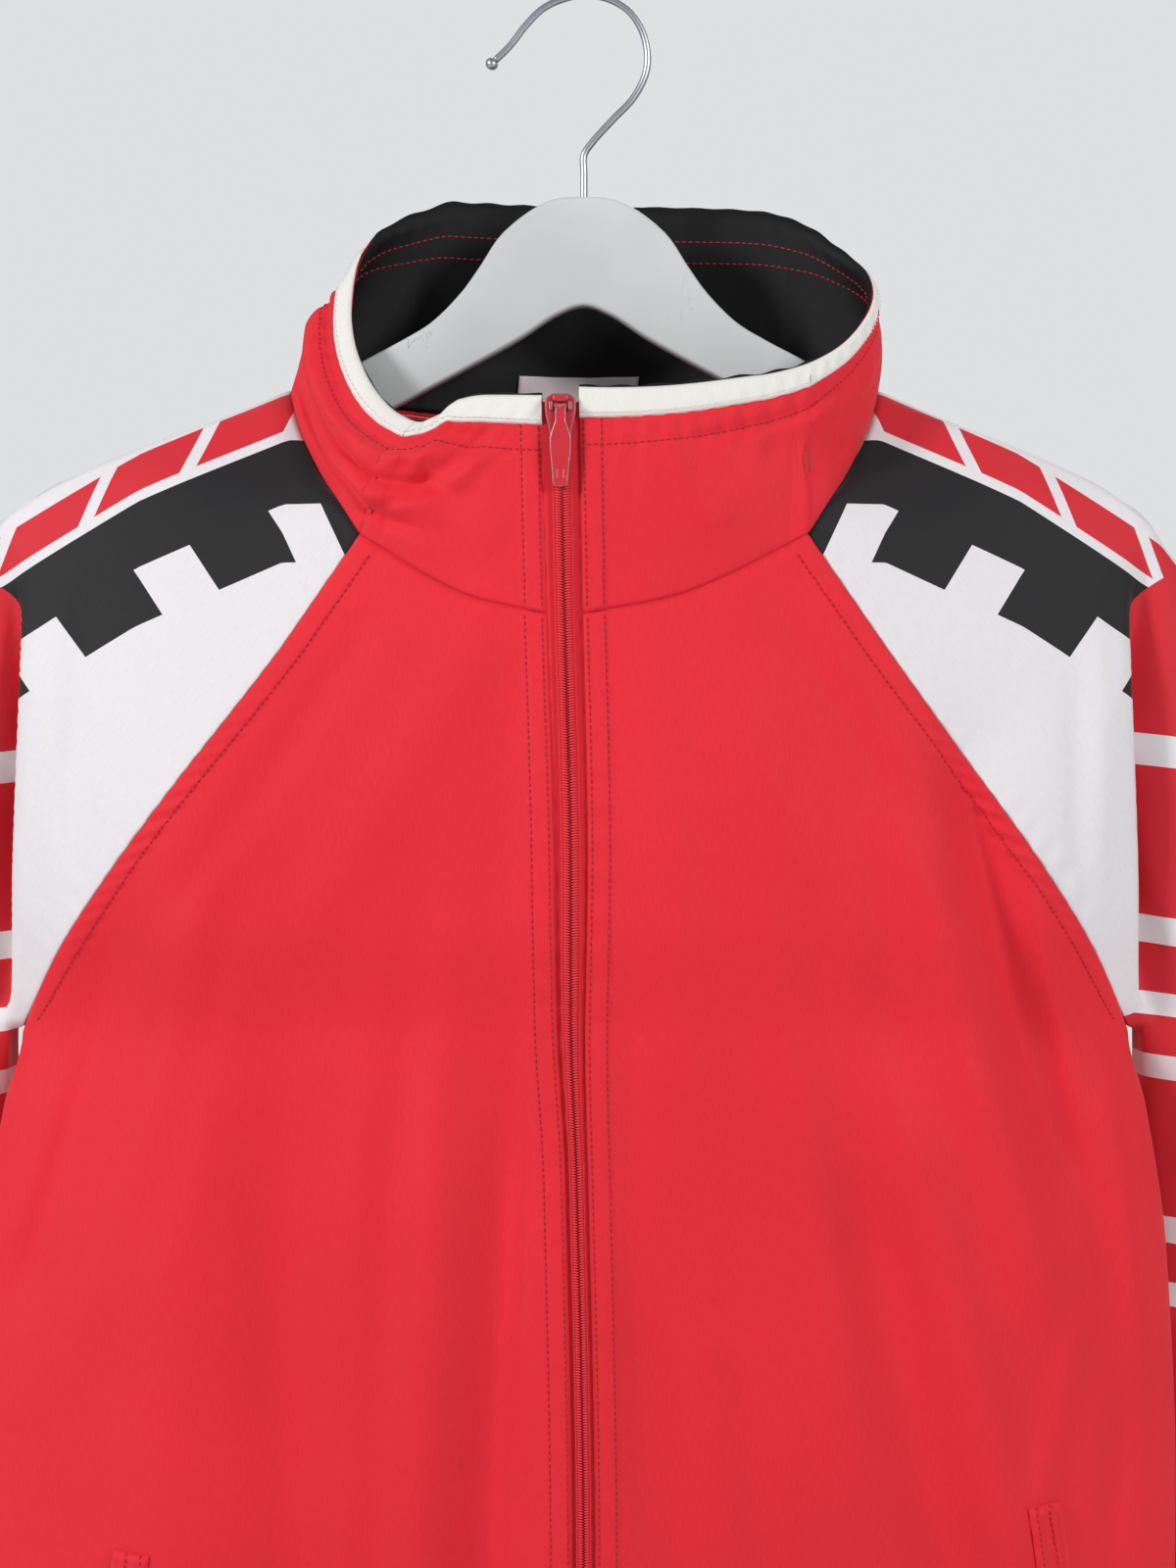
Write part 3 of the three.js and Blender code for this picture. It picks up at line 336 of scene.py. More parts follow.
def swept(path, sides, radius, up=(0, 1, 0), squash=1.0, phase=0.0):
    """A round profile carried along a path: centre plus radius times side and up directions."""
    path = np.asarray(path, float)
    ahead = np.gradient(path, axis=0)
    ahead /= np.linalg.norm(ahead, axis=1, keepdims=True)
    side = np.cross(ahead, np.asarray(up, float))
    side /= np.linalg.norm(side, axis=1, keepdims=True)
    lift = np.cross(side, ahead)
    turn = np.linspace(0, 2 * np.pi, sides + 1) + phase
    radius = np.broadcast_to(radius, (len(path),))[:, None, None]
    ring = side[:, None, :] * np.cos(turn)[None, :, None] + lift[:, None, :] * np.sin(turn)[None, :, None] * squash
    return path[:, None, :] + radius * ring


def at_runs(points, run, wanted):
    """Points of each row at wanted distances along it, by straight lines between its own."""
    apart = run[:, -1].max() + wanted.max() + 1
    lead = np.arange(len(run))[:, None] * apart
    keys, asked = (run + lead).ravel(), (wanted + lead).ravel()
    parts = [np.interp(asked, keys, points[..., c].ravel()).reshape(wanted.shape) for c in range(3)]
    return np.stack(parts, axis=-1)


def catmull(guides, shares, steps=16):
    """Smooth cubic curves (centripetal) through each row's guide points, read at shares of their length.

    Also gives the distance of every guide point from the row's start.
    """
    guides = np.asarray(guides, float)
    before = 2 * guides[:, :1] - guides[:, 1:2]
    after = 2 * guides[:, -1:] - guides[:, -2:-1]
    p = np.concatenate([before, guides, after], axis=1)
    gaps = np.maximum(np.linalg.norm(np.diff(p, axis=1), axis=-1), 1e-6) ** 0.5
    key = np.concatenate([np.zeros((len(p), 1)), np.cumsum(gaps, axis=1)], axis=1)[..., None]
    dense = []
    for k in range(1, p.shape[1] - 2):
        last = k == p.shape[1] - 3
        f = np.linspace(0, 1, steps + last, endpoint=bool(last))
        t = lerp(key[:, k], key[:, k + 1], f)[..., None]

        def mix(a, b, i, j):
            span = (key[:, j] - key[:, i])[:, None]
            return a * (key[:, j][:, None] - t) / span + b * (t - key[:, i][:, None]) / span

        first = mix(p[:, k - 1][:, None], p[:, k][:, None], k - 1, k)
        middle = mix(p[:, k][:, None], p[:, k + 1][:, None], k, k + 1)
        end = mix(p[:, k + 1][:, None], p[:, k + 2][:, None], k + 1, k + 2)
        dense.append(mix(mix(first, middle, k - 1, k + 1), mix(middle, end, k, k + 2), k, k + 1))
    dense = np.concatenate(dense, axis=1)
    run = arc_lengths(dense, 1)
    return at_runs(dense, run, run[:, -1:] * shares[None, :]), run[:, ::steps]


def crowded(count, strength):
    """Shares from 0 to 1 that crowd towards both ends: t less a part of sin(2 pi t)."""
    t = np.linspace(0, 1, count)
    return t - strength * np.sin(2 * np.pi * t) / (2 * np.pi)


def smooth(value, low, high):
    """0 below low, 1 above high, an S curve between."""
    t = np.clip((value - low) / (high - low), 0, 1)
    return t * t * (3 - 2 * t)


def bell(value, wide):
    return np.exp(-(value / wide) ** 2)


def ripple(run, pitch, seed=0.0):
    """Uneven small waves along a length: a sine whose phase wanders with two slower sines."""
    wander = 1.7 * np.sin(run / (pitch * 2.6) + seed) + 0.9 * np.sin(run / (pitch * 1.1) + 2 * seed + 1)
    return np.sin(2 * np.pi * run / pitch + wander) * (0.7 + 0.3 * np.sin(run / (pitch * 3.3) + seed))


# Panels: rows down each seam, then below the armpit, and shares across
CAP_ROWS, BODY_ROWS, TUBE_ROWS = 96, 84, 100
FRONT_SHARES = crowded(104, 0.6)
BACK_SHARES = crowded(121, 0.5)
SLEEVE_SHARES = crowded(113, 0.45)


def seam_point(table, s, hand, depth):
    x, z = eased(table, s, 1) * hand, eased(table, s, 2)
    return stack(x, depth(x, z), z)


def panel_rows(seam):
    """Stations of a body panel: down its raglan seam (share s), then down its side (share low)."""
    s = np.concatenate([np.linspace(0, 1, CAP_ROWS + 1), np.ones(BODY_ROWS)])
    low = np.concatenate([np.zeros(CAP_ROWS + 1), np.linspace(0, 1, BODY_ROWS + 1)[1:]])
    end_z = np.where(low > 0, lerp(ARMPIT_Z, BODY_END_Z, low), eased(seam, s, 2))
    end_x = np.where(low > 0, eased(LEVELS, end_z, HALF), eased(seam, s, 1))
    return s[:, None], low[:, None], end_x[:, None], end_z[:, None]


def front_grid(hand):
    """Half of the front: rows run from the zip to the raglan or side seam, sagging at the neck."""
    s, low, end_x, end_z = panel_rows(FRONT_SEAM)
    f = FRONT_SHARES[None, :]
    start_z = np.where(low > 0, end_z, lerp(NECK_FRONT_Z, ARMPIT_Z, s))
    start_x = zip_x(start_z) + hand * zip_open(start_z)
    mix = lerp(f, np.sin(f * np.pi / 2) ** 0.9, np.minimum(1, low * 3))
    x = lerp(start_x, end_x * hand, mix)
    sag = (eased(NECK_DROP, f, 1) - lerp(NECK_FRONT_Z, NECK_DROP[-1, 1], f)) * (1 - s)
    z = lerp(start_z, end_z, f) + sag
    return widened(stack(x, np.where((f == 1) & (s == 1), SIDE_SEAM_Y, front_y(x, z)), z))


def back_grid():
    """The back: rows run from side to side, lowest in the middle at the neck."""
    s, low, end_x, end_z = panel_rows(BACK_SEAM)
    f = 2 * BACK_SHARES[None, :] - 1
    centre_z = np.where(low > 0, end_z, lerp(NECK_BACK_Z, ARMPIT_Z, s))
    spread = np.sign(f) * np.sin(np.abs(f) * np.pi / 2) ** 0.9
    x = end_x * lerp(f, spread, np.minimum(1, low * 3))
    z = lerp(centre_z, end_z, f * f)
    return widened(stack(x, np.where((np.abs(f) == 1) & (s == 1), SIDE_SEAM_Y, back_y(x, z)), z))


def sleeve_grid(hand):
    """A sleeve: each row is a smooth curve through the guide lines, from the front seam round to the back.

    Also gives the distance of each guide from the row's start, and the rows' stations.
    """
    s = np.concatenate([np.linspace(0, 1, CAP_ROWS + 1), 1 + np.linspace(0, 1, TUBE_ROWS + 1)[1:] ** 1.15])

    def along(table):
        return stack(eased(table, s, 1) * hand, eased(table, s, 2), eased(table, s, 3))

    cap = (s < 1)[:, None]
    start = np.where(cap, seam_point(FRONT_SEAM, s, hand, front_y), along(INNER))
    end = np.where(cap, seam_point(BACK_SEAM, s, hand, back_y), along(INNER))
    crest, lobe_back = along(CREST), along(LOBE_BACK)
    between = lerp(start, crest, 0.5)
    on_front = front_y(between[:, 0], between[:, 2])
    between[:, 1] = lerp(on_front, between[:, 1], smooth(s, 0.8, 0.97))
    middle = lerp(lobe_back, end, 0.55)
    middle[:, 1] += 3 + 6 * np.minimum(1, s)
    guides = [start, between, crest, along(VALLEY), along(LOBE), along(OUTER), lobe_back, middle, end]
    points, marks = catmull(np.stack(guides, axis=1), SLEEVE_SHARES)
    return points, marks, s


def seam_relief(d, along, width, raised, pucker, pitch, seed=0.0):
    """A sewn edge: a fall at the join, a raised allowance, a groove under its stitches, uneven puckers."""
    band = raised * (1 - smooth(d, width - 1.5, width + 2.5))
    waves = pucker * ripple(along, pitch, seed) * bell(d - width * 0.55, width * 0.7)
    return band + waves - 0.5 * bell(d, 1.2) - 0.3 * bell(d - width, 1.0)


def lines_at(points, side, distance, from_end=False, rows=slice(None), lift=0.0):
    """The line on a panel at a distance from its first or last column, with the panel's direction there."""
    run = arc_lengths(points, 1)[rows]
    wanted = run[:, -1:] - distance if from_end else np.full((len(run), 1), float(distance))
    out = normals(points, side)[rows]
    up = at_runs(out, run, wanted)[:, 0]
    return at_runs(points[rows], run, wanted)[:, 0] + up * lift, up


def capsules(centre, ahead, up, length, radius, bow=0.9, rings=4):
    """Many small threads: six-sided, radius times (1 - u^4)^0.5 along each, bowed up in the middle."""
    side = np.cross(ahead, up)
    u = np.linspace(-1, 1, rings)[None, :, None, None]
    turn = np.linspace(0, 2 * np.pi, 6, endpoint=False)[None, None, :, None]
    swell = radius * np.sqrt(np.maximum(1 - u ** 4, 0.06))
    lift = radius * (bow * (1 - u * u) - 0.3)
    centre, ahead, up, side = (a[:, None, None, :] for a in (centre, ahead, up, side))
    points = centre + ahead * (u * length / 2) + up * (lift + swell * np.sin(turn)) + side * (swell * np.cos(turn))
    ring = np.arange(6)
    first = (np.arange(rings - 1)[:, None] * 6 + ring[None, :]).ravel()
    after = (np.arange(rings - 1)[:, None] * 6 + (ring[None, :] + 1) % 6).ravel()
    wall = np.stack([first, after, after + 6, first + 6], axis=1)[:, ::-1]
    last = (rings - 1) * 6
    ends = np.array([(0, 1, 2, 3), (0, 3, 4, 5), (last + 3, last + 2, last + 1, last),
                     (last + 5, last + 4, last + 3, last)])
    one = np.concatenate([wall, ends])
    many = np.arange(len(points))[:, None, None] * rings * 6 + one[None]
    return points.reshape(-1, 3), many.reshape(-1, 4)


def threads(path, up, pitch, length, radius):
    """Stitches at even steps along a path that lies on the cloth."""
    run = np.concatenate([[0], np.cumsum(np.linalg.norm(np.diff(path, axis=0), axis=1))])
    at = np.arange(pitch / 2, run[-1], pitch)

    def place(values, where):
        return np.stack([np.interp(where, run, values[:, c]) for c in range(3)], axis=1)

    ahead = place(path, at + 0.4) - place(path, at - 0.4)
    ahead /= np.linalg.norm(ahead, axis=1, keepdims=True)
    lift = place(up, at)
    lift -= ahead * np.sum(ahead * lift, axis=1, keepdims=True)
    lift /= np.linalg.norm(lift, axis=1, keepdims=True)
    return capsules(place(path, at), ahead, lift, length, radius)


def joined(name, parts):
    """One object from several lists of points and faces."""
    points, faces, count = [], [], 0
    for p, f in parts:
        points.append(p)
        faces.append(f + count)
        count += len(p)
    return mesh_object(name, np.concatenate(points), np.concatenate(faces), merge=False)


def stitching(name, lines, pitch=2.9, length=2.2, radius=0.26):
    return joined(name, [threads(path, up, pitch, length, radius) for path, up in lines])


class Value:
    """A node's output with arithmetic: each operator adds one Math node."""

    def __init__(self, finish, socket):
        self.finish, self.socket = finish, socket

    def maths(self, operation, *numbers):
        return self.finish.node("ShaderNodeMath", {"operation": operation}, dict(enumerate(numbers)))

    def __add__(self, other):
        return self.maths("ADD", self, other)

    def __sub__(self, other):
        return self.maths("SUBTRACT", self, other)

    def __rsub__(self, other):
        return self.maths("SUBTRACT", other, self)

    def __mul__(self, other):
        return self.maths("MULTIPLY", self, other)

    def __truediv__(self, other):
        return self.maths("DIVIDE", self, other)

    def __mod__(self, other):
        return self.maths("FLOORED_MODULO", self, other)

    def __abs__(self):
        return self.maths("ABSOLUTE", self)

    __radd__, __rmul__ = __add__, __mul__

    def sine(self):
        return self.maths("SINE", self)

    def over(self, low, high):
        """0 below low, 1 above high, an S curve between."""
        settings = {"interpolation_type": "SMOOTHSTEP"}
        return self.finish.node("ShaderNodeMapRange", settings, {0: self, 1: low, 2: high})


def colour(red, green, blue):
    """A colour from its screen values, 0 to 255, in the linear form that sockets take."""
    c = np.array([red, green, blue]) / 255
    return (*np.where(c > 0.04045, ((c + 0.055) / 1.055) ** 2.4, c / 12.92), 1.0)


class Finish:
    """A material: constants go on the surface's own sockets, and patterns are fed in from nodes."""

    def __init__(self, name, **constants):
        self.material = bpy.data.materials.new(name)
        self.material.use_nodes = True
        self.tree = self.material.node_tree
        self.surface = self.tree.nodes["Principled BSDF"]
        for key, value in constants.items():
            self.surface.inputs[key.replace("_", " ")].default_value = value

    def node(self, kind, settings=None, inputs=None, output=0):
        made = self.tree.nodes.new(kind)
        for key, value in (settings or {}).items():
            setattr(made, key, value)
        for key, value in (inputs or {}).items():
            self.link(value, made.inputs[key])
        return Value(self, made.outputs[output])

    def link(self, value, socket):
        if isinstance(value, Value):
            self.tree.links.new(value.socket, socket)
        else:
            socket.default_value = value

    def feed(self, **inputs):
        for key, value in inputs.items():
            self.link(value, self.surface.inputs[key.replace("_", " ")])

    def field(self, name):
        """A value kept at the mesh's points."""
        return self.node("ShaderNodeAttribute", {"attribute_name": name}, output=2)

    def place(self, scale=(1, 1, 1), source="Object"):
        """The point's place on the object or in its UV map, stretched by a scale."""
        at = self.node("ShaderNodeTexCoord", output=source)
        return self.node("ShaderNodeMapping", {"vector_type": "POINT"}, {"Vector": at, "Scale": scale})

    def parts(self, place):
        return [self.node("ShaderNodeSeparateXYZ", inputs={0: place}, output=k) for k in range(3)]

    def noise(self, place, scale, detail=2.0, rough=0.5):
        return self.node("ShaderNodeTexNoise", inputs={"Vector": place, "Scale": scale, "Detail": detail,
                                                       "Roughness": rough})

    def mix(self, share, first, second):
        return self.node("ShaderNodeMix", {"data_type": "RGBA"}, {0: share, 6: first, 7: second}, output=2)

    def relief(self, height, distance, strength=1.0):
        """A bump from a height that runs from 0 to 1 and stands a distance in metres."""
        return self.node("ShaderNodeBump", inputs={"Height": height, "Distance": distance, "Strength": strength})


def weave(look, pitch=0.55):
    """Height of a plain weave on the UV map: threads both ways, a little uneven."""
    across, down, _ = look.parts(look.place((1000, 1000, 1000), "UV"))
    wander = look.noise(look.place((120, 120, 120), "UV"), 1.0) * 1.2
    turns = 2 * np.pi / pitch
    return ((across * turns + wander).sine() * (down * turns + wander).sine()) * 0.5 + 0.5


def slubs(look):
    """Fine uneven threads: noise drawn out down the cloth."""
    return look.noise(look.place((1500, 180, 1), "UV"), 1.0, 3.0, 0.6)


def cloth_finish(name, base, deep, rough=0.62, sheen=0.25, stains=False):
    """Dull woven cloth: its colour a little deeper along uneven threads and in soft patches."""
    look = Finish(name, Sheen_Weight=sheen, Sheen_Roughness=0.45, Specular_IOR_Level=0.28)
    thread = slubs(look)
    patch = look.noise(look.place(), 9.0, 3.0)
    tone = look.mix(thread.over(0.3, 0.75) * 0.4 + patch.over(0.3, 0.7) * 0.3, base, deep)
    if stains:
        marks = look.noise(look.place(), 46.0, 3.0).over(0.7, 0.78)
        tone = look.mix(marks * 0.09, tone, colour(120, 24, 30))
    look.feed(Base_Color=tone, Roughness=rough + thread * 0.12)
    look.feed(Normal=look.relief(weave(look) * 0.5 + thread * 0.5, 0.00012, 0.5))
    return look


RED, RED_DEEP = colour(226, 36, 50), colour(206, 26, 40)
WHITE, WHITE_DEEP = colour(224, 220, 222), colour(214, 209, 212)
INK, INK_DEEP = colour(28, 25, 28), colour(19, 18, 20)
PRINT_RED = colour(204, 34, 47)

red_cloth = cloth_finish("red cloth", RED, RED_DEEP, sheen=0.1, stains=True)
trim_cloth = cloth_finish("white trim cloth", colour(232, 229, 224), colour(220, 216, 210), 0.7, 0.1)
lining_cloth = cloth_finish("black lining cloth", colour(8, 8, 10), colour(5, 5, 7), 0.6, 0.03)
label_cloth = cloth_finish("plain label cloth", colour(226, 214, 217), colour(214, 200, 204), 0.5, 0.3)
red_thread = cloth_finish("red thread", colour(205, 30, 44), colour(170, 20, 32), 0.5, 0.1)
dark_thread = cloth_finish("dark red thread", colour(168, 26, 37), colour(136, 19, 29), 0.5, 0.1)

# Hoops down the outer sleeve: heights that each white hoop runs between, in millimetres below the peg
HOOPS = [(325, 339), (406, 419), (442, 453), (471, 482), (545, 557), (575, 586)]
SLANT = 0.55
BAND_TOP, BAND_LOW, BLOCK_LOW = 24.0, 54.0, 80.0
BLOCK_PITCH, BLOCK_LONG = 62.0, 36.0
BAR_TOP, BAR_LOW, BAR_PITCH, BAR_GAP = 1.5, 19.0, 47.0, 6.5


def printed_finish():
    """White sleeve cloth with a plain print: a black band with slanted blocks below it, red bars with
    slanted gaps along the shoulder, and a red outer strip with white hoops."""
    look = Finish("printed sleeve cloth", Sheen_Weight=0.2, Sheen_Roughness=0.45, Specular_IOR_Level=0.28)
    thread = slubs(look)
    depth, along, strip, level = (look.field(key) for key in ("depth", "along", "strip", "level"))
    sharp = 0.25

    def between(value, low, high):
        return value.over(low - sharp, low + sharp) * (1 - value.over(high - sharp, high + sharp))

    slanted = along + depth * SLANT
    block = between(slanted % BLOCK_PITCH, 1, 1 + BLOCK_LONG) * between(depth, BAND_LOW - 1, BLOCK_LOW)
    black = between(depth, BAND_TOP, BAND_LOW) + block
    bars = between((along - depth * SLANT) % BAR_PITCH, 1, BAR_PITCH - BAR_GAP) * between(depth, BAR_TOP, BAR_LOW)
    outer = strip.over(-sharp, sharp)
    hoops = between(level, *HOOPS[0])
    for low, high in HOOPS[1:]:
        hoops = hoops + between(level, low, high)
    tone = look.mix(thread.over(0.3, 0.75) * 0.6, WHITE, WHITE_DEEP)
    tone = look.mix(black.over(0.4, 0.6), tone, look.mix(thread, INK, INK_DEEP))
    tone = look.mix(bars, tone, PRINT_RED)
    strip_tone = look.mix(hoops.over(0.4, 0.6), look.mix(thread * 0.5, PRINT_RED, RED_DEEP), WHITE)
    tone = look.mix(outer, tone, strip_tone)
    look.feed(Base_Color=tone, Roughness=0.6 + thread * 0.12)
    look.feed(Normal=look.relief(weave(look) * 0.5 + thread * 0.5, 0.00012, 0.5))
    return look


printed_cloth = printed_finish()


def worn_paint():
    """Red paint over grey metal: bare where the edge value and a fine noise are high together."""
    look = Finish("worn painted metal", IOR=1.5)
    chips = look.noise(look.place(), 900.0, 4.0, 0.6)
    bare = (look.field("edge") + chips * 0.9).over(0.98, 1.06)
    tone = look.mix(bare, colour(196, 34, 46), colour(150, 148, 150))
    look.feed(Base_Color=tone, Roughness=0.34 + chips * 0.2, Metallic=bare * 0.9)
    look.feed(Normal=look.relief(1 - bare, 0.00008, 0.6))
    return look


def coil_finish():
    look = Finish("nylon coil", Specular_IOR_Level=0.5)
    grain = look.noise(look.place(), 700.0, 3.0)
    look.feed(Base_Color=look.mix(grain, colour(236, 50, 64), colour(214, 38, 52)), Roughness=0.38 + grain * 0.2)
    look.feed(Normal=look.relief(grain, 0.00005, 0.4))
    return look


def hanger_finish():
    """Satin moulding: faint mottling, a fine grain, and a few thin dark scratches."""
    look = Finish("satin hanger", Specular_IOR_Level=0.45)
    mottle = look.noise(look.place(), 14.0, 4.0)
    grain = look.noise(look.place(), 900.0, 2.0)
    line = look.node("ShaderNodeTexNoise", inputs={"Vector": look.place((60, 60, 9)), "Scale": 1.6, "Detail": 4.0,
                                                   "Distortion": 0.6})
    scratch = 1 - abs(line - 0.5).over(0.0, 0.004)
    rare = look.noise(look.place(), 20.0, 1.0).over(0.56, 0.62)
    tone = look.mix(mottle.over(0.3, 0.7), colour(206, 207, 207), colour(194, 196, 197))
    tone = look.mix(scratch * rare * 0.7, tone, colour(110, 112, 116))
    look.feed(Base_Color=tone, Roughness=0.4 + mottle * 0.12)
    look.feed(Normal=look.relief(grain, 0.00004, 0.3))
    return look


def chrome_finish():
    look = Finish("polished chrome", Metallic=1.0)
    rub = look.noise(look.place((1, 1, 0.2)), 200.0, 3.0)
    look.feed(Base_Color=look.mix(rub, colour(188, 190, 195), colour(176, 178, 184)), Roughness=0.36 + rub * 0.04)
    return look


slider_paint, coil_nylon = worn_paint(), coil_finish()
hanger_satin, hook_chrome = hanger_finish(), chrome_finish()


def dress(piece, look, nodes=(), body="jacket"):
    """Gives a piece its finish and the body that carries it, and hides the model's nodes that it stands for."""
    piece.data.materials.append(look.material)
    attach(piece, body)
    if nodes:
        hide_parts(*nodes)
    return piece


# Fronts: the allowance beside the raglan seam and the placket beside the zip are raised and stitched
RAGLAN_WIDE, PLACKET_WIDE, PLACKET_EDGE = 9.5, 9.5, 1.9
SIDES = [("right", 1), ("left", -1)]
panels = {}
for label, hand in SIDES:
    flat = front_grid(hand)
    run, down = arc_lengths(flat, 1), arc_lengths(flat, 0)
    beside = run[:, -1:] - run
    row = np.arange(len(flat))[:, None]
    on_cap = 1 - smooth(row, CAP_ROWS - 8, CAP_ROWS)
    raglan = seam_relief(beside, down[:, -1:] + 0.7 * beside, RAGLAN_WIDE, 0.8, 0.75, 10.0, 3.0 * hand)
    placket = seam_relief(run, down[:, :1] + 0 * run, PLACKET_WIDE, 0.8, 0.3, 16.0, 5.0 + hand)
    side_fall = -0.6 * bell(beside, 1.4) * (1 - on_cap)
    relief = raglan * on_cap + placket + side_fall - 0.25 * bell(down, 1.1)
    panels["front_" + label] = (flat + normals(flat, hand) * relief[..., None], hand)

# Back: plain, with the same allowance beside its raglan seams
flat = back_grid()
run, down = arc_lengths(flat, 1), arc_lengths(flat, 0)
beside = np.minimum(run, run[:, -1:] - run)
on_cap = 1 - smooth(np.arange(len(flat))[:, None], CAP_ROWS - 8, CAP_ROWS)
relief = seam_relief(beside, down, RAGLAN_WIDE, 0.5, 0.3, 11.0) * on_cap - 0.6 * bell(beside, 1.4) * (1 - on_cap)
panels["back"] = (flat + normals(flat, -1) * (relief - 0.5 * bell(down, 1.3))[..., None], -1)

# Sleeves: folds across the arm, by distance round from the crest and height
SLEEVE_CREASES = np.array([
    (30, -520, 62, -556, 10, 2.6), (20, -585, 66, -600, 9, -2.4), (34, -640, 74, -655, 11, 2.4),
    (16, -690, 70, -716, 9, -2.0), (60, -470, 96, -500, 11, -2.2), (100, -560, 140, -596, 12, 2.4),
    (96, -660, 146, -640, 11, -2.4), (30, -760, 80, -748, 9, 2.2), (90, -770, 140, -790, 10, 2.0),
    (26, -330, 44, -430, 9, 1.8), (60, -300, 76, -420, 12, -1.8), (96, -330, 120, -440, 13, 2.0),
    (20, -800, 26, -835, 6, 1.6), (60, -800, 64, -835, 6, -1.6), (104, -805, 108, -835, 6, 1.6)], float)
SLEEVE_PUFF = np.array([(-40, -330, -52, -440, 9, -1.2), (-24, -290, -30, -420, 8, 1.0)], float)
fields = {}
for label, hand in SIDES:
    flat, marks, station = sleeve_grid(hand)
    run, down = arc_lengths(flat, 1), arc_lengths(flat, 0)
    drawn_x = flat[..., 0]
    flat = widened(flat)
    past = run - marks[:, 2:3]
    before = marks[:, 6:7] - run
    s = station[:, None] + 0 * run
    at_edge = np.minimum(run, run[:, -1:] - run)
    clear = np.where(s < 1, smooth(at_edge, 4, 30), 1) * smooth(down, 4, 40)
    across = np.where(past > 0, past, 0)
    relief = fold_depth(SLEEVE_CREASES, across + 6 * hand, flat[..., 2]) * smooth(past, 2, 22) * clear
    relief += fold_depth(SLEEVE_PUFF, past, flat[..., 2]) * clear * smooth(-past, 0, 10)
    cap = 1 - smooth(s, 0.92, 1.0)
    relief += cap * (-0.5 * bell(at_edge, 1.2) + 0.35 * ripple(down, 12, 2 + hand) * bell(at_edge - 6, 6))
    relief -= 0.5 * bell(down, 1.3) + 0.5 * bell(down[-1:] - down, 1.6)
    panels["sleeve_" + label] = (flat + normals(flat, hand) * relief[..., None], hand)
    tip = 60 * (1 - smooth(s, 0.41, 0.49)) - 200 * smooth(s, 0.97, 1.0)
    shoulder_z = np.interp(np.abs(drawn_x), OUTER[:4, 1], OUTER[:4, 3])
    fields["sleeve_" + label] = {
        "depth": shoulder_z - flat[..., 2], "along": np.abs(drawn_x) * 1.147,
        "strip": np.minimum(past, before) - 3 - tip, "level": -flat[..., 2] - 0.12 * past + 4 * (hand - 1)}

for key, (points, side) in panels.items():
    piece = sheet(key + "_cloth", points, side, fields.get(key))
    kind, _, where = key.partition("_")
    if kind == "sleeve":
        dress(piece, printed_cloth, ["sleeve_cap_" + where, "sleeve_arm_" + where])
    else:
        dress(piece, red_cloth, [key])

# Collar: outer cloth, lining and trim on one ring of neck points
ring = np.concatenate([
    panels["front_right"][0][0], panels["sleeve_right"][0][0, 1:], panels["back"][0][0, :-1][::-1],
    panels["sleeve_left"][0][0, :-1][::-1], panels["front_left"][0][0, :-1][::-1]])
TRIM_LOW, TRIM_WALL, STITCH_HEIGHT = 0.862, 0.9, 0.742
COLLAR_ROWS, COLLAR_TALL = 44, 90.0


def collar_grid(heights, rings=slice(None)):
    return collar_point(ring[rings][None, :, :], heights[:, None])


heights = np.linspace(0, 1, COLLAR_ROWS)
flat = collar_grid(heights)
run = arc_lengths(flat, 1)
tall = heights[:, None]
from_zip = np.minimum(run, run[:, -1:] - run)
beside_zip = np.where(run < run[:, -1:] / 2, run, run - run[:, -1:])
puckers = 0.8 * ripple(run, 9.5) * bell(tall - 0.79, 0.07) + 0.4 * ripple(run, 14, 2) * bell(tall - 0.62, 0.12)
casing = 0.6 * smooth(tall, STITCH_HEIGHT, STITCH_HEIGHT + 0.04) - 0.4 * bell(tall - STITCH_HEIGHT, 0.014)
edge = seam_relief(from_zip, tall * COLLAR_TALL + 0 * run, PLACKET_WIDE, 0.6, 0.25, 16.0, 1.0)
creases = fold_depth(COLLAR_CREASES, beside_zip, tall * COLLAR_TALL) * smooth(from_zip, 12, 30)
relief = (puckers + casing) * smooth(from_zip, 8, 20) + creases + edge - 0.25 * bell(tall * COLLAR_TALL, 1.2)
collar = flat + normals(flat, -1) * relief[..., None]
dress(sheet("collar_outer_cloth", collar, -1), red_cloth, ["collar_outer"])

LINING_SHIFT = -2.9
lining_heights = np.linspace(0.02, 1.0, 40)
flat = collar_grid(lining_heights, slice(None, None, 2))
tall = lining_heights[:, None]
run = arc_lengths(flat, 1)
waves = 0.4 * ripple(run, 11, 4) * bell(tall - 0.9, 0.06) + 0.6 * ripple(run, 31, 1) * bell(tall - 0.45, 0.3)
rows_sewn = -0.3 * bell((tall - 0.86) * 88, 0.9) - 0.3 * bell((tall - 0.76) * 88, 0.9)
rolled = 2.5 * smooth(tall, 0.95, 1.0)
from_zip = np.minimum(run, run[:, -1:] - run)
beside_zip = np.where(run < run[:, -1:] / 2, run, run - run[:, -1:])
followed = fold_depth(COLLAR_CREASES, beside_zip, tall * COLLAR_TALL) * smooth(from_zip, 12, 30)
lift = LINING_SHIFT + followed + waves * (1 - smooth(tall, 0.96, 1)) - rows_sewn + rolled
lining = flat + normals(flat, -1) * lift[..., None]
# At the back the lining stands past the outer cloth, so the rim shows black, a little uneven
at_rim = 1.1 + 0.5 * ripple(run, 17, 6)
lining[..., 2] += at_rim * smooth(tall, 0.93, 1.0)
dress(sheet("collar_lining_cloth", lining, 1, thick=0.7), lining_cloth,
                        ["collar_lining"])

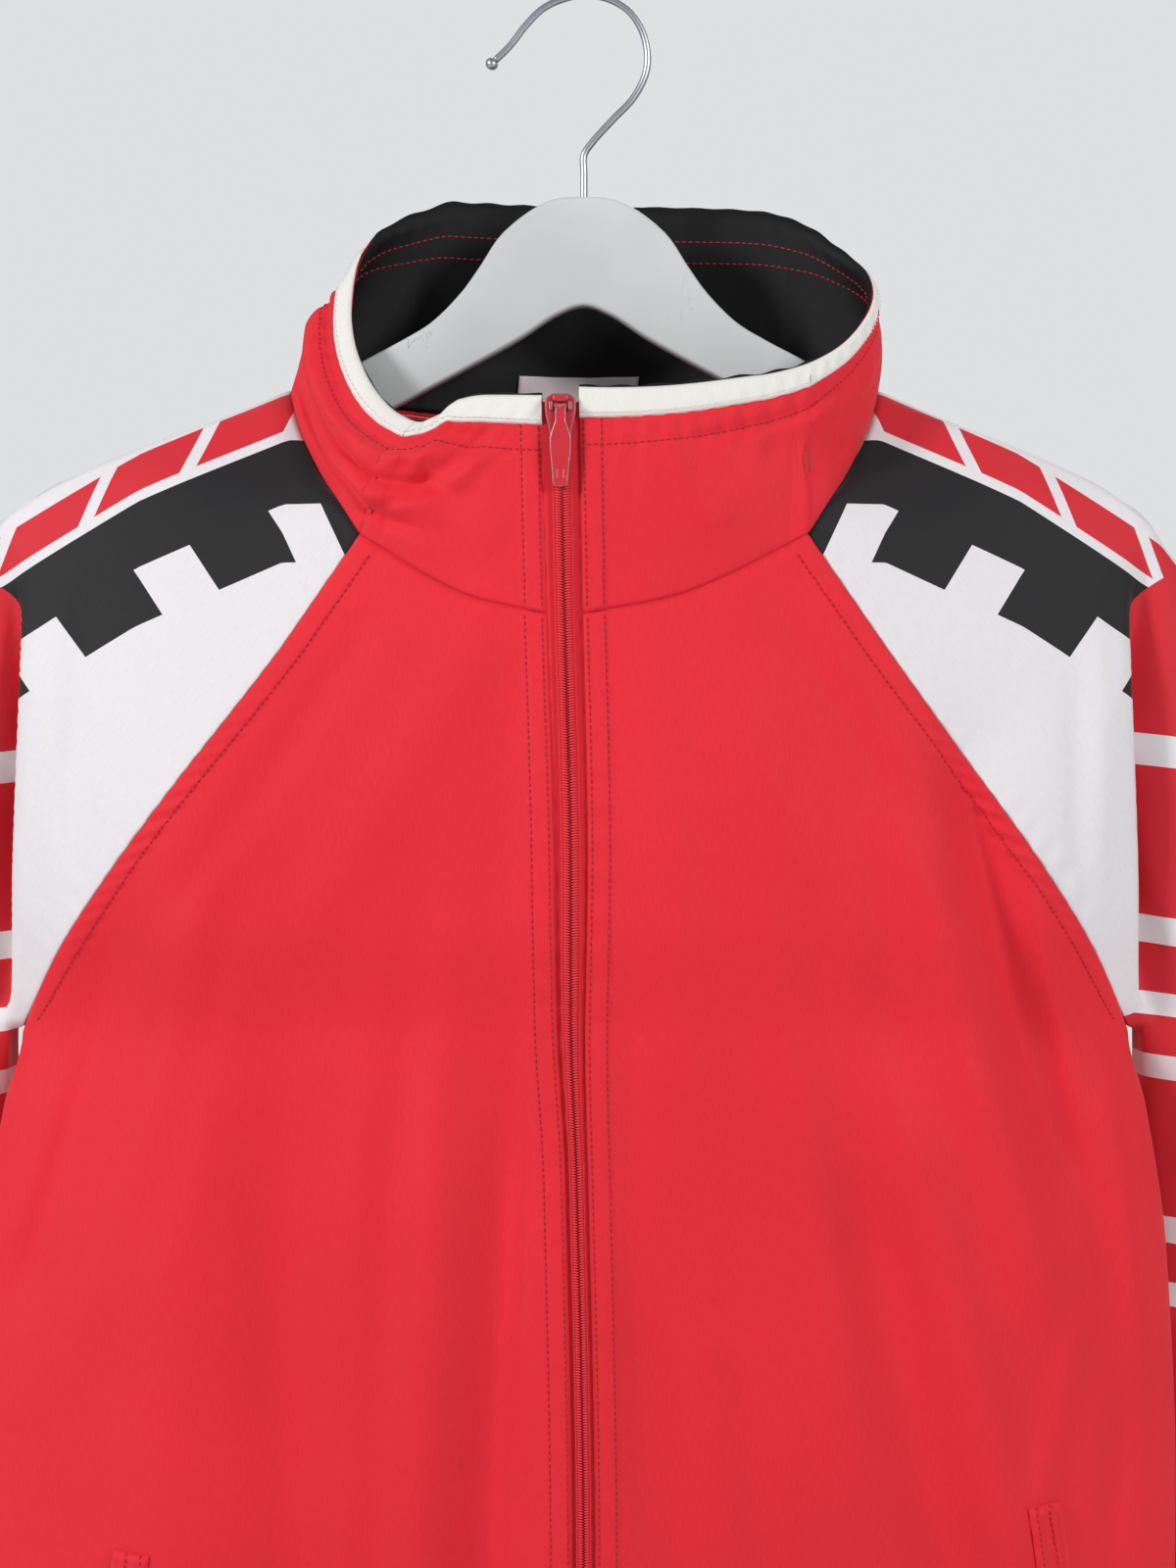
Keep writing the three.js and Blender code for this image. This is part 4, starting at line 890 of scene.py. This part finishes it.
# Trim: a folded white band round the front half of the rim
TRIM_SHARES = np.linspace(0, 1, 12)
front_count = len(FRONT_SHARES)
half_sleeve = int(0.62 * (len(SLEEVE_SHARES) - 1))
trim_spans = {"right": slice(0, front_count + half_sleeve),
              "left": slice(len(ring) - front_count - half_sleeve, len(ring))}
for label, span in trim_spans.items():
    flat = collar_grid(lerp(TRIM_LOW, 1.0, TRIM_SHARES), span)
    run = arc_lengths(flat, 1)
    share = TRIM_SHARES[:, None]
    from_end = run if label == "right" else run[:, -1:] - run
    full = 1.35 + 0.75 * np.sin(share * np.pi) ** 0.6 + 0.3 * ripple(run, 8.5, 3) * bell(share - 0.45, 0.35)
    lift = full * (1 - 0.45 * smooth(share, 0.8, 1.0)) - 0.8 * bell(share, 0.08)
    band = flat + normals(flat, -1) * lift[..., None]
    dress(sheet("collar_trim_cloth_" + label, band, -1, thick=TRIM_WALL), trim_cloth,
                                   ["collar_trim_" + label])
    "trim_" + label

# Plain label on the lining, in the middle of the back
LABEL_FROM, LABEL_TO = -33.0, 24.0
at_back = np.flatnonzero((ring[:, 1] > 0) & (ring[:, 0] > LABEL_FROM) & (ring[:, 0] < LABEL_TO))
label_span = slice(at_back[0], at_back[-1] + 1)
flat = collar_grid(np.linspace(0.07, 0.215, 12), label_span)
plate = flat + normals(flat, -1) * (LINING_SHIFT - 1.5 + 0.25 * ripple(arc_lengths(flat, 1), 19, 2))[..., None]
dress(sheet("neck_label_cloth", plate, 1, thick=0.3), label_cloth, ["neck_label"])

# Zip: tapes, two rows of coil teeth, slider and pull tab
COLLAR_FRONT_Y = RING_Y + RIM_DEPTH * rim_turn(zip_x(COLLAR_FRONT_Z)) - 0.5
ZIP_TOP_Z = -187.0


def zip_y(z):
    x = zip_x(z)
    f = np.clip((z - NECK_FRONT_Z) / (COLLAR_FRONT_Z - NECK_FRONT_Z), 0, 1)
    above = lerp(front_y(x, NECK_FRONT_Z), COLLAR_FRONT_Y, f) - np.sin(f * np.pi) * 0.8
    return np.where(z <= NECK_FRONT_Z, front_y(x, z), above)


zip_z = np.linspace(ZIP_TOP_Z, BODY_END_Z, 220)[:, None]
for label, hand in SIDES:
    f = np.linspace(0, 1, 8)[None, :]
    x = zip_x(zip_z) + hand * lerp(1.0, zip_open(zip_z) + 2.5, f)
    flat = stack(x, zip_y(zip_z) + 0.9 + 0.12 * ripple(zip_z * -1, 15, hand), zip_z)
    tape = sheet("zip_tape_cloth_" + label, flat, hand, thick=0.6)
    dress(tape, red_cloth, ["zip_tape_" + label])
    "tape_" + label

TOOTH_PITCH, TOOTH_LONG = 1.15, 3.7
tooth_z = np.arange(ZIP_TOP_Z - 16, BODY_END_Z + 1, -TOOTH_PITCH)
rows = []
for hand in (1, -1):
    z = tooth_z - (0.25 + 0.25 * hand) * TOOTH_PITCH
    # The coil shows whole where the placket opens wide, and its outer edges are hidden lower down
    bare = lerp(0.72, 1.0, smooth(zip_open(z), 4.8, 7.0))
    centre = stack(zip_x(z) + hand * 1.62 * bare, zip_y(z) - 1.5, z)
    ahead = np.broadcast_to([1.0, 0.0, 0.16 * hand], centre.shape) / np.hypot(1, 0.16)
    up = np.broadcast_to([0.0, -1.0, 0.0], centre.shape)
    rows.append(capsules(centre, ahead, up, (TOOTH_LONG * bare)[:, None, None, None], 0.42, bow=1.3))
    cord = stack(zip_x(z) + hand * 3.9 * bare, zip_y(z) - 1.0, z)
    rows.append(capsules(cord, np.broadcast_to([0.0, 0.0, 1.0], cord.shape), up, 1.3, 0.5, bow=0.2, rings=3))
dress(joined("zip_coil", rows), coil_nylon, ["zip_chain"])


def rounded_slab(name, z, x_from, x_to, y_front, y_back, radius, dips=None):
    """A plate lofted down Z: each level is a rounded rectangle; an edge value marks its corners."""
    flat_turn = 0.15
    quarter = np.pi / 2
    turn = np.concatenate([
        np.linspace(flat_turn - quarter, quarter - flat_turn, 16, endpoint=False),
        np.linspace(quarter - flat_turn, quarter + flat_turn, 12, endpoint=False),
        np.linspace(quarter + flat_turn, 3 * quarter - flat_turn, 16, endpoint=False),
        np.linspace(3 * quarter - flat_turn, 3 * quarter + flat_turn, 12, endpoint=False)])
    cx = np.clip(np.cos(turn) / np.sin(flat_turn), -1, 1)
    cy = np.where(np.sin(turn) < 0, -1.0, 1.0)
    middle, half = (x_from + x_to) / 2, (x_to - x_from) / 2
    deep, mid_y = (y_back - y_front) / 2, (y_back + y_front) / 2
    inset = radius * (1 - np.sqrt(1 - np.clip(1 - np.minimum(z[0] - z, z - z[-1]) / radius, 0, 1) ** 2))
    x = middle[:, None] + cx * (half - inset - radius)[:, None] + radius * np.cos(turn)
    y = mid_y + cy * (deep - inset - radius)[:, None] + radius * np.sin(turn)
    if dips is not None:
        y = y + dips(x, np.broadcast_to(z[:, None], x.shape)) * (cy < 0)
    rows = stack(x, y, z[:, None] + 0 * x)
    rows = np.concatenate([rows.mean(axis=1, keepdims=True)[:1] + 0 * rows[:1], rows,
                           rows.mean(axis=1, keepdims=True)[-1:] + 0 * rows[-1:]])
    rows = np.concatenate([rows, rows[:, :1]], axis=1)
    reach = np.interp(-rows[..., 2], -z, half)
    rim = reach - np.abs(rows[..., 0] - middle[0])
    ends = np.minimum(z[0] - rows[..., 2], rows[..., 2] - z[-1])
    edge = 1 - smooth(np.minimum(rim, ends), -0.2, 1.1)
    uv = np.stack([arc_lengths(rows, 1), arc_lengths(rows, 0)], axis=-1)
    return mesh_object(name, rows, grid_faces(*rows.shape[:2], False), uv, {"edge": edge})


SLIDER_X, SLIDER_TOP, SLIDER_WAIST, SLIDER_LOW = -10.0, -184.0, -193.0, -205.0
SLIDER_BACK, SLIDER_THICK = -63.2, 2.6
PIN_Y, PIN_Z = SLIDER_BACK - SLIDER_THICK - 1.5, -189.5
z = np.linspace(SLIDER_TOP, SLIDER_LOW, 60)
half = lerp(6.6, 4.6, smooth(-z, 190, 203)) - 2.4 * (1 - smooth(-z, 184, 187.5)) ** 2
front, rear = SLIDER_BACK - SLIDER_THICK, SLIDER_BACK
body = rounded_slab("zip_slider_body", z, SLIDER_X - half, SLIDER_X + half, front, rear, 0.9)
dress(body, slider_paint, ["zip_slider"])
z = np.linspace(SLIDER_TOP - 0.4, PIN_Z + 1.7, 24)
half = 3.4 * np.sqrt(np.maximum(1 - ((z - z.mean()) / 2.4) ** 2, 0.2))
crown = rounded_slab("zip_slider_crown", z, SLIDER_X - half, SLIDER_X + half, front - 2.4, front + 0.3, 1.1)
dress(crown, slider_paint)
for label, hand in SIDES:
    z = np.linspace(PIN_Z + 1.9, PIN_Z - 1.9, 16)
    at = np.full_like(z, SLIDER_X + hand * 4.15)
    ear = rounded_slab("zip_slider_ear_" + label, z, at - 0.75, at + 0.75, front - 2.9, front + 0.3, 0.5)
    dress(ear, slider_paint)


def pull_dip(x, z):
    """A plain slot pressed into the tab's face."""
    across = np.abs(x - SLIDER_X)
    return 0.6 * (1 - smooth(across, 1.2, 1.6)) * smooth(z, -221, -220) * (1 - smooth(z, -216.5, -215.5))


z = np.linspace(PIN_Z + 1.0, -224.0, 96)
half = np.interp(-z, [188.5, 196, 201, 203.5, 208, 220, 223, 224], [2.3, 2.3, 4.0, 4.6, 4.5, 3.4, 3.1, 2.4])
tab = rounded_slab("zip_pull_tab", z, SLIDER_X - half, SLIDER_X + half, PIN_Y - 0.65, PIN_Y + 0.65, 0.5, pull_dip)
dress(tab, slider_paint, ["zip_pull"], "pull_tab")
bar = swept(stack(SLIDER_X + np.linspace(-3.1, 3.1, 14), PIN_Y, PIN_Z), 20, 1.1 * np.sqrt(
    np.maximum(1 - np.abs(np.linspace(-1, 1, 14)) ** 12, 0.02)), up=(0, 0, 1))
pin = mesh_object("zip_pull_bar", bar, grid_faces(*bar.shape[:2], True), fields={"edge": np.full(bar.shape[:2], 0.55)})
dress(pin, slider_paint, body="pull_tab")

# Pocket welts: folded strips that stand on the fronts, thickest along their folds
WELT_ENDS = {"right": ((198.0, -664.0), (218.4, -800.0)), "left": ((190.1, -684.0), (209.2, -817.0))}
WELT_HALF = 7.5
welt_lines = []
for label, hand in SIDES:
    top, low = WELT_ENDS[label]
    f = np.linspace(0, 1, 90)[:, None]
    u = crowded(30, 0.5)[None, :] * 2 - 1
    x = hand * (lerp(top[0], low[0], f) + u * WELT_HALF)
    z = lerp(top[1], low[1], f) + 0.12 * WELT_HALF * u
    flat = widened(stack(x, front_y(x, z), z))
    ends = smooth(f, 0, 0.02) * (1 - smooth(f, 0.98, 1))
    lift = 0.6 + (1.9 * (1 - np.abs(u) ** 8) + 0.25 * ripple(f * 137, 11, 1 + hand)) * ends
    lift = lift - 0.55 * bell(np.abs(u) - 0.5, 0.08) - 0.9 * bell(u, 0.06)
    welt = flat + normals(flat, hand) * lift[..., None]
    dress(sheet("pocket_welt_cloth_" + label, welt, hand), red_cloth,
                                   ["pocket_welt_" + label])
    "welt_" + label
    for d in (WELT_HALF * 0.5, WELT_HALF * 1.5):
        welt_lines.append(lines_at(welt, hand, d, lift=0.1))

# Hem band and cuffs: gathered over elastic, with sewn rows between soft ribs
HEM_SHARES = 90


def hem_ring(z):
    """Round the body from the zip: front half, back, front half; a row for each height."""
    z = z[:, None]
    half = eased(LEVELS, z, HALF)
    f = np.linspace(0, 1, HEM_SHARES)[None, :]
    front_right = lerp(zip_x(z) + zip_open(z), half, np.sin(f * np.pi / 2))
    around = half * np.cos(np.linspace(0, np.pi, 2 * HEM_SHARES)[None, 1:-1])
    front_left = lerp(zip_x(z) - zip_open(z), -half, np.sin(f[:, ::-1] * np.pi / 2))
    x = np.concatenate([front_right, around, front_left], axis=1)
    side = np.abs(x) > half - 1e-6
    front = np.where(side, SIDE_SEAM_Y, front_y(x, z))
    back = np.concatenate([np.zeros(HEM_SHARES), np.ones(around.shape[1]), np.zeros(HEM_SHARES)]) > 0
    return widened(stack(x, np.where(back[None, :], back_y(x, z), front), z))


def rib_lift(run, share, wall, pitch, seed):
    """Gathers over elastic: uneven upright waves, pinched at three sewn rows and at both edges."""
    sewn = sum(bell(share - at, 0.03) for at in (0.25, 0.5, 0.75))
    puff = np.sin(np.clip(share, 0, 1) * np.pi) ** 0.5
    return wall * puff + 1.1 * ripple(run, pitch, seed) * puff * (1 - 0.5 * sewn) - 0.5 * sewn


share = np.linspace(0, 1, 34)
flat = hem_ring(lerp(BODY_END_Z - 0.3, HEM_END_Z, share))
hem = flat + normals(flat, 1) * rib_lift(arc_lengths(flat, 1), share[:, None], 0.9, 10.5, 2)[..., None]
dress(sheet("hem_band_cloth", hem, 1, thick=1.8), red_cloth, ["hem_band"])
band_lines = [(hem[k], normals(hem, 1)[k]) for k in (8, 17, 25)]

for label, hand in SIDES:
    sleeve = panels["sleeve_" + label][0]
    end = sleeve[-1]
    centre = end[:-1].mean(axis=0)
    size = np.interp(share, [0, 0.5, 1], [0.975, 0.9, 0.88])[:, None, None]
    flat = centre + (end[None] - centre) * size
    flat[..., 2] = lerp(SLEEVE_END_Z - 0.3, CUFF_END_Z, share)[:, None]
    lift = rib_lift(arc_lengths(flat, 1), share[:, None], 0.9, 9.0, 4)
    lift = lift * smooth(np.minimum(np.arange(flat.shape[1]), np.arange(flat.shape[1])[::-1]), 0, 5)
    cuff = flat + normals(flat, hand) * lift[..., None]
    dress(sheet("cuff_cloth_" + label, cuff, hand, thick=1.8), red_cloth,
                                   ["cuff_" + label])
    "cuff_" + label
    band_lines += [(cuff[k], normals(cuff, hand)[k]) for k in (8, 17, 25)]

# Stitches, each a small thread: along the raglan seams, the placket, the collar, the lining and the bands
front_lines = list(welt_lines)
for label, hand in SIDES:
    points, side = panels["front_" + label]
    cap = slice(2, CAP_ROWS - 1)
    front_lines.append(lines_at(points, side, RAGLAN_WIDE, True, cap, 0.15))
    front_lines.append(lines_at(points, side, PLACKET_WIDE, rows=slice(1, None), lift=0.15))
    front_lines.append(lines_at(points, side, PLACKET_EDGE, rows=slice(1, None), lift=0.1))
for from_end in (False, True):
    front_lines.append(lines_at(panels["back"][0], -1, RAGLAN_WIDE, from_end, slice(2, CAP_ROWS - 1), 0.15))
out = normals(collar, -1)
collar_rows = slice(1, int(COLLAR_ROWS * 0.88))
for from_end in (False, True):
    for d in (PLACKET_WIDE, PLACKET_EDGE):
        front_lines.append(lines_at(collar, -1, d, from_end, collar_rows, 0.12))
near_rim = int(round(STITCH_HEIGHT * (COLLAR_ROWS - 1)))
span = slice(6, front_count + half_sleeve)
front_lines.append((collar[near_rim, span] + out[near_rim, span] * 0.15, out[near_rim, span]))
span = slice(len(ring) - front_count - half_sleeve, len(ring) - 6)
front_lines.append((collar[near_rim, span] + out[near_rim, span] * 0.15, out[near_rim, span]))
seams = dress(stitching("red_topstitch", front_lines), dark_thread)
bands = dress(stitching("band_stitches", band_lines, 3.4, 2.6), dark_thread)
inside = normals(lining, 1)
lining_lines = []
for at in (0.86, 0.76):
    k = int(np.argmin(np.abs(lining_heights - at)))
    lining_lines.append((lining[k] + inside[k] * 0.2, inside[k]))
red_rows = dress(stitching("lining_stitches", lining_lines, 3.1, 2.3, 0.3), red_thread)
trim_lines = []
for label, span in trim_spans.items():
    flat = collar_grid(np.array([0.88, 0.885, 0.89]), span)
    out = normals(flat, -1)
    trim_lines.append((flat[1] + out[1] * 2.35, out[1]))
trim_rows = dress(stitching("trim_stitches", trim_lines, 2.9, 2.2, 0.2), trim_cloth)

# Hanger: rounded slabs between a smooth top line and a smooth underside, and its wire hook with a ball tip
HANGER_HALF, HANGER_ROUND = 5.0, 2.2
HANGER_TOP = [(-16, -91), (0, -89), (16, -91), (36, -105), (47, -121), (55, -132), (68, -145), (81, -153), (98, -162),
              (106, -167), (122, -184), (131, -187.5), (160, -197), (190, -209.5), (244, -244), (248, -249)]
HANGER_UNDER = [(-12, -142), (0, -138), (12, -142), (30, -153.5), (86, -184), (220, -255), (245, -264.5),
                (249.5, -257)]


def half_line(points, count):
    """The right half of an outline that is the same on both sides, in even steps from the middle."""
    spots = np.array([(x, 0, z) for x, z in points], float)
    line = catmull(spots[None], np.linspace(0, 1, 900))[0][0]
    line = line[line[:, 0] >= 0]
    run = arc_lengths(line[None], 1)
    return at_runs(line[None], run, np.linspace(0, run[0, -1], count)[None])[0]


top, under = half_line(HANGER_TOP, 130), half_line(HANGER_UNDER, 130)
top = widened(np.concatenate([top[:0:-1] * (-1, 1, 1), top]))
under = widened(np.concatenate([under[:0:-1] * (-1, 1, 1), under]))
turn = np.linspace(0, 2 * np.pi, 41)[:-1] + np.pi / 80
turn = np.concatenate([turn, turn[:1]])
middle, reach = (top + under) / 2, (top - under) / 2
tall = np.maximum(np.linalg.norm(reach, axis=1), 1.2)
reach = reach / np.maximum(np.linalg.norm(reach, axis=1, keepdims=True), 1e-6)
curve = np.minimum(HANGER_ROUND, tall * 0.9)[:, None]
along = np.sign(np.cos(turn)) * (tall[:, None] - curve) + curve * np.cos(turn)
deep = np.sign(np.sin(turn)) * (HANGER_HALF - curve) + curve * np.sin(turn)
shell = middle[:, None] + reach[:, None] * along[..., None] + np.array([0, 1, 0]) * deep[..., None]
shell = np.concatenate([shell.mean(axis=1, keepdims=True)[:1] + 0 * shell[:1], shell,
                        shell.mean(axis=1, keepdims=True)[-1:] + 0 * shell[-1:]])
hanger = mesh_object("hanger_moulding", shell, grid_faces(*shell.shape[:2], True))
dress(hanger, hanger_satin, ["hanger_body"])

HOOK = [(0, -91), (0, -78), (0, -70), (3.5, -64.5), (13, -54), (22, -44.5), (27.4, -34), (28.4, -25), (26, -14.5),
        (20, -5.5), (11, -0.2), (0, 1.6), (-10, -0.4), (-18.5, -4.6), (-26, -12), (-33, -21), (-39.5, -27.5)]
WIRE, BALL = 1.6, 2.9
path = catmull(np.array([[(x, 0, z) for x, z in HOOK]], float), np.linspace(0, 1, 240))[0][0]
wire = swept(path, 24, WIRE)
wire = np.concatenate([path[None, :1] + 0 * wire[:1], wire, path[None, -1:] + 0 * wire[:1]])
hook = mesh_object("hook_wire", wire, grid_faces(*wire.shape[:2], False))
dress(hook, hook_chrome, ["hanger_hook"])
ahead = (path[-1] - path[-2]) / np.linalg.norm(path[-1] - path[-2])
angle = np.linspace(0, np.pi, 25)
spine = path[-1] + ahead * (BALL * 0.9 * (1 - np.cos(angle)))[:, None] - ahead * 0.2
ball = swept(np.stack([path[-1] + ahead * k for k in np.linspace(0, 1, 25)]), 32, BALL * np.sin(angle))
ball = ball + (spine - np.stack([path[-1] + ahead * k for k in np.linspace(0, 1, 25)]))[:, None]
tip = mesh_object("hook_ball", ball, grid_faces(*ball.shape[:2], False))
dress(tip, hook_chrome, ["hook_tip"])

# Pale room: floor, world, soft lights from the upper left, camera level with the chest
FLOOR_Z = -0.93
floor = mesh_object("floor", np.array([(-3, -3, FLOOR_Z), (3, -3, FLOOR_Z), (3, 3, FLOOR_Z), (-3, 3, FLOOR_Z)]) / MM,
                    np.array([[0, 1, 2, 3]]))
pale = Finish("pale floor", Roughness=0.8)
pale.feed(Base_Color=pale.mix(pale.noise(pale.place(), 2.0), colour(226, 228, 230), colour(220, 222, 225)))
floor.data.materials.append(pale.material)

world = bpy.data.worlds.new("pale room")
world.use_nodes = True
world.node_tree.nodes["Background"].inputs["Color"].default_value = colour(226, 228, 230)
world.node_tree.nodes["Background"].inputs["Strength"].default_value = 0.42
bpy.context.scene.world = world
# The camera sees the far wall brighter than the light that the room gives the cloth
seen, joint = world.node_tree.nodes.new("ShaderNodeBackground"), world.node_tree.nodes.new("ShaderNodeMixShader")
seen.inputs["Color"].default_value = colour(222, 224, 226)
path = world.node_tree.nodes.new("ShaderNodeLightPath")
world.node_tree.links.new(path.outputs["Is Camera Ray"], joint.inputs["Fac"])
world.node_tree.links.new(world.node_tree.nodes["Background"].outputs[0], joint.inputs[1])
world.node_tree.links.new(seen.outputs[0], joint.inputs[2])
world.node_tree.links.new(joint.outputs[0], world.node_tree.nodes["World Output"].inputs["Surface"])


def soft_light(name, place, aim, size, power):
    lamp = bpy.data.lights.new(name, "AREA")
    lamp.shape, lamp.size, lamp.energy = "DISK", size, power
    holder = bpy.data.objects.new(name, lamp)
    holder.location = place
    holder.rotation_euler = (Vector(aim) - Vector(place)).to_track_quat("-Z", "Y").to_euler()
    bpy.context.scene.collection.objects.link(holder)


soft_light("key", (-1.7, -1.2, 0.5), (0, 0, -0.4), 0.45, 30)
soft_light("fill", (1.5, -1.6, 0.4), (0, 0, -0.45), 0.6, 24)
soft_light("rear", (0.6, 1.8, 1.0), (0, 0, -0.4), 1.2, 14)

CAMERA_AWAY, SENSOR, LENS = 1.5, 36.0, 77.05
lens = bpy.data.cameras.new("camera")
lens.sensor_fit, lens.sensor_width, lens.sensor_height, lens.lens = "VERTICAL", SENSOR, SENSOR, LENS
camera = bpy.data.objects.new("camera", lens)
camera.location = (0.0018, -CAMERA_AWAY, -0.351)
camera.rotation_euler = (np.pi / 2, 0, 0)
bpy.context.scene.collection.objects.link(camera)
bpy.context.scene.camera = camera
bpy.context.scene.view_settings.view_transform = "Standard"
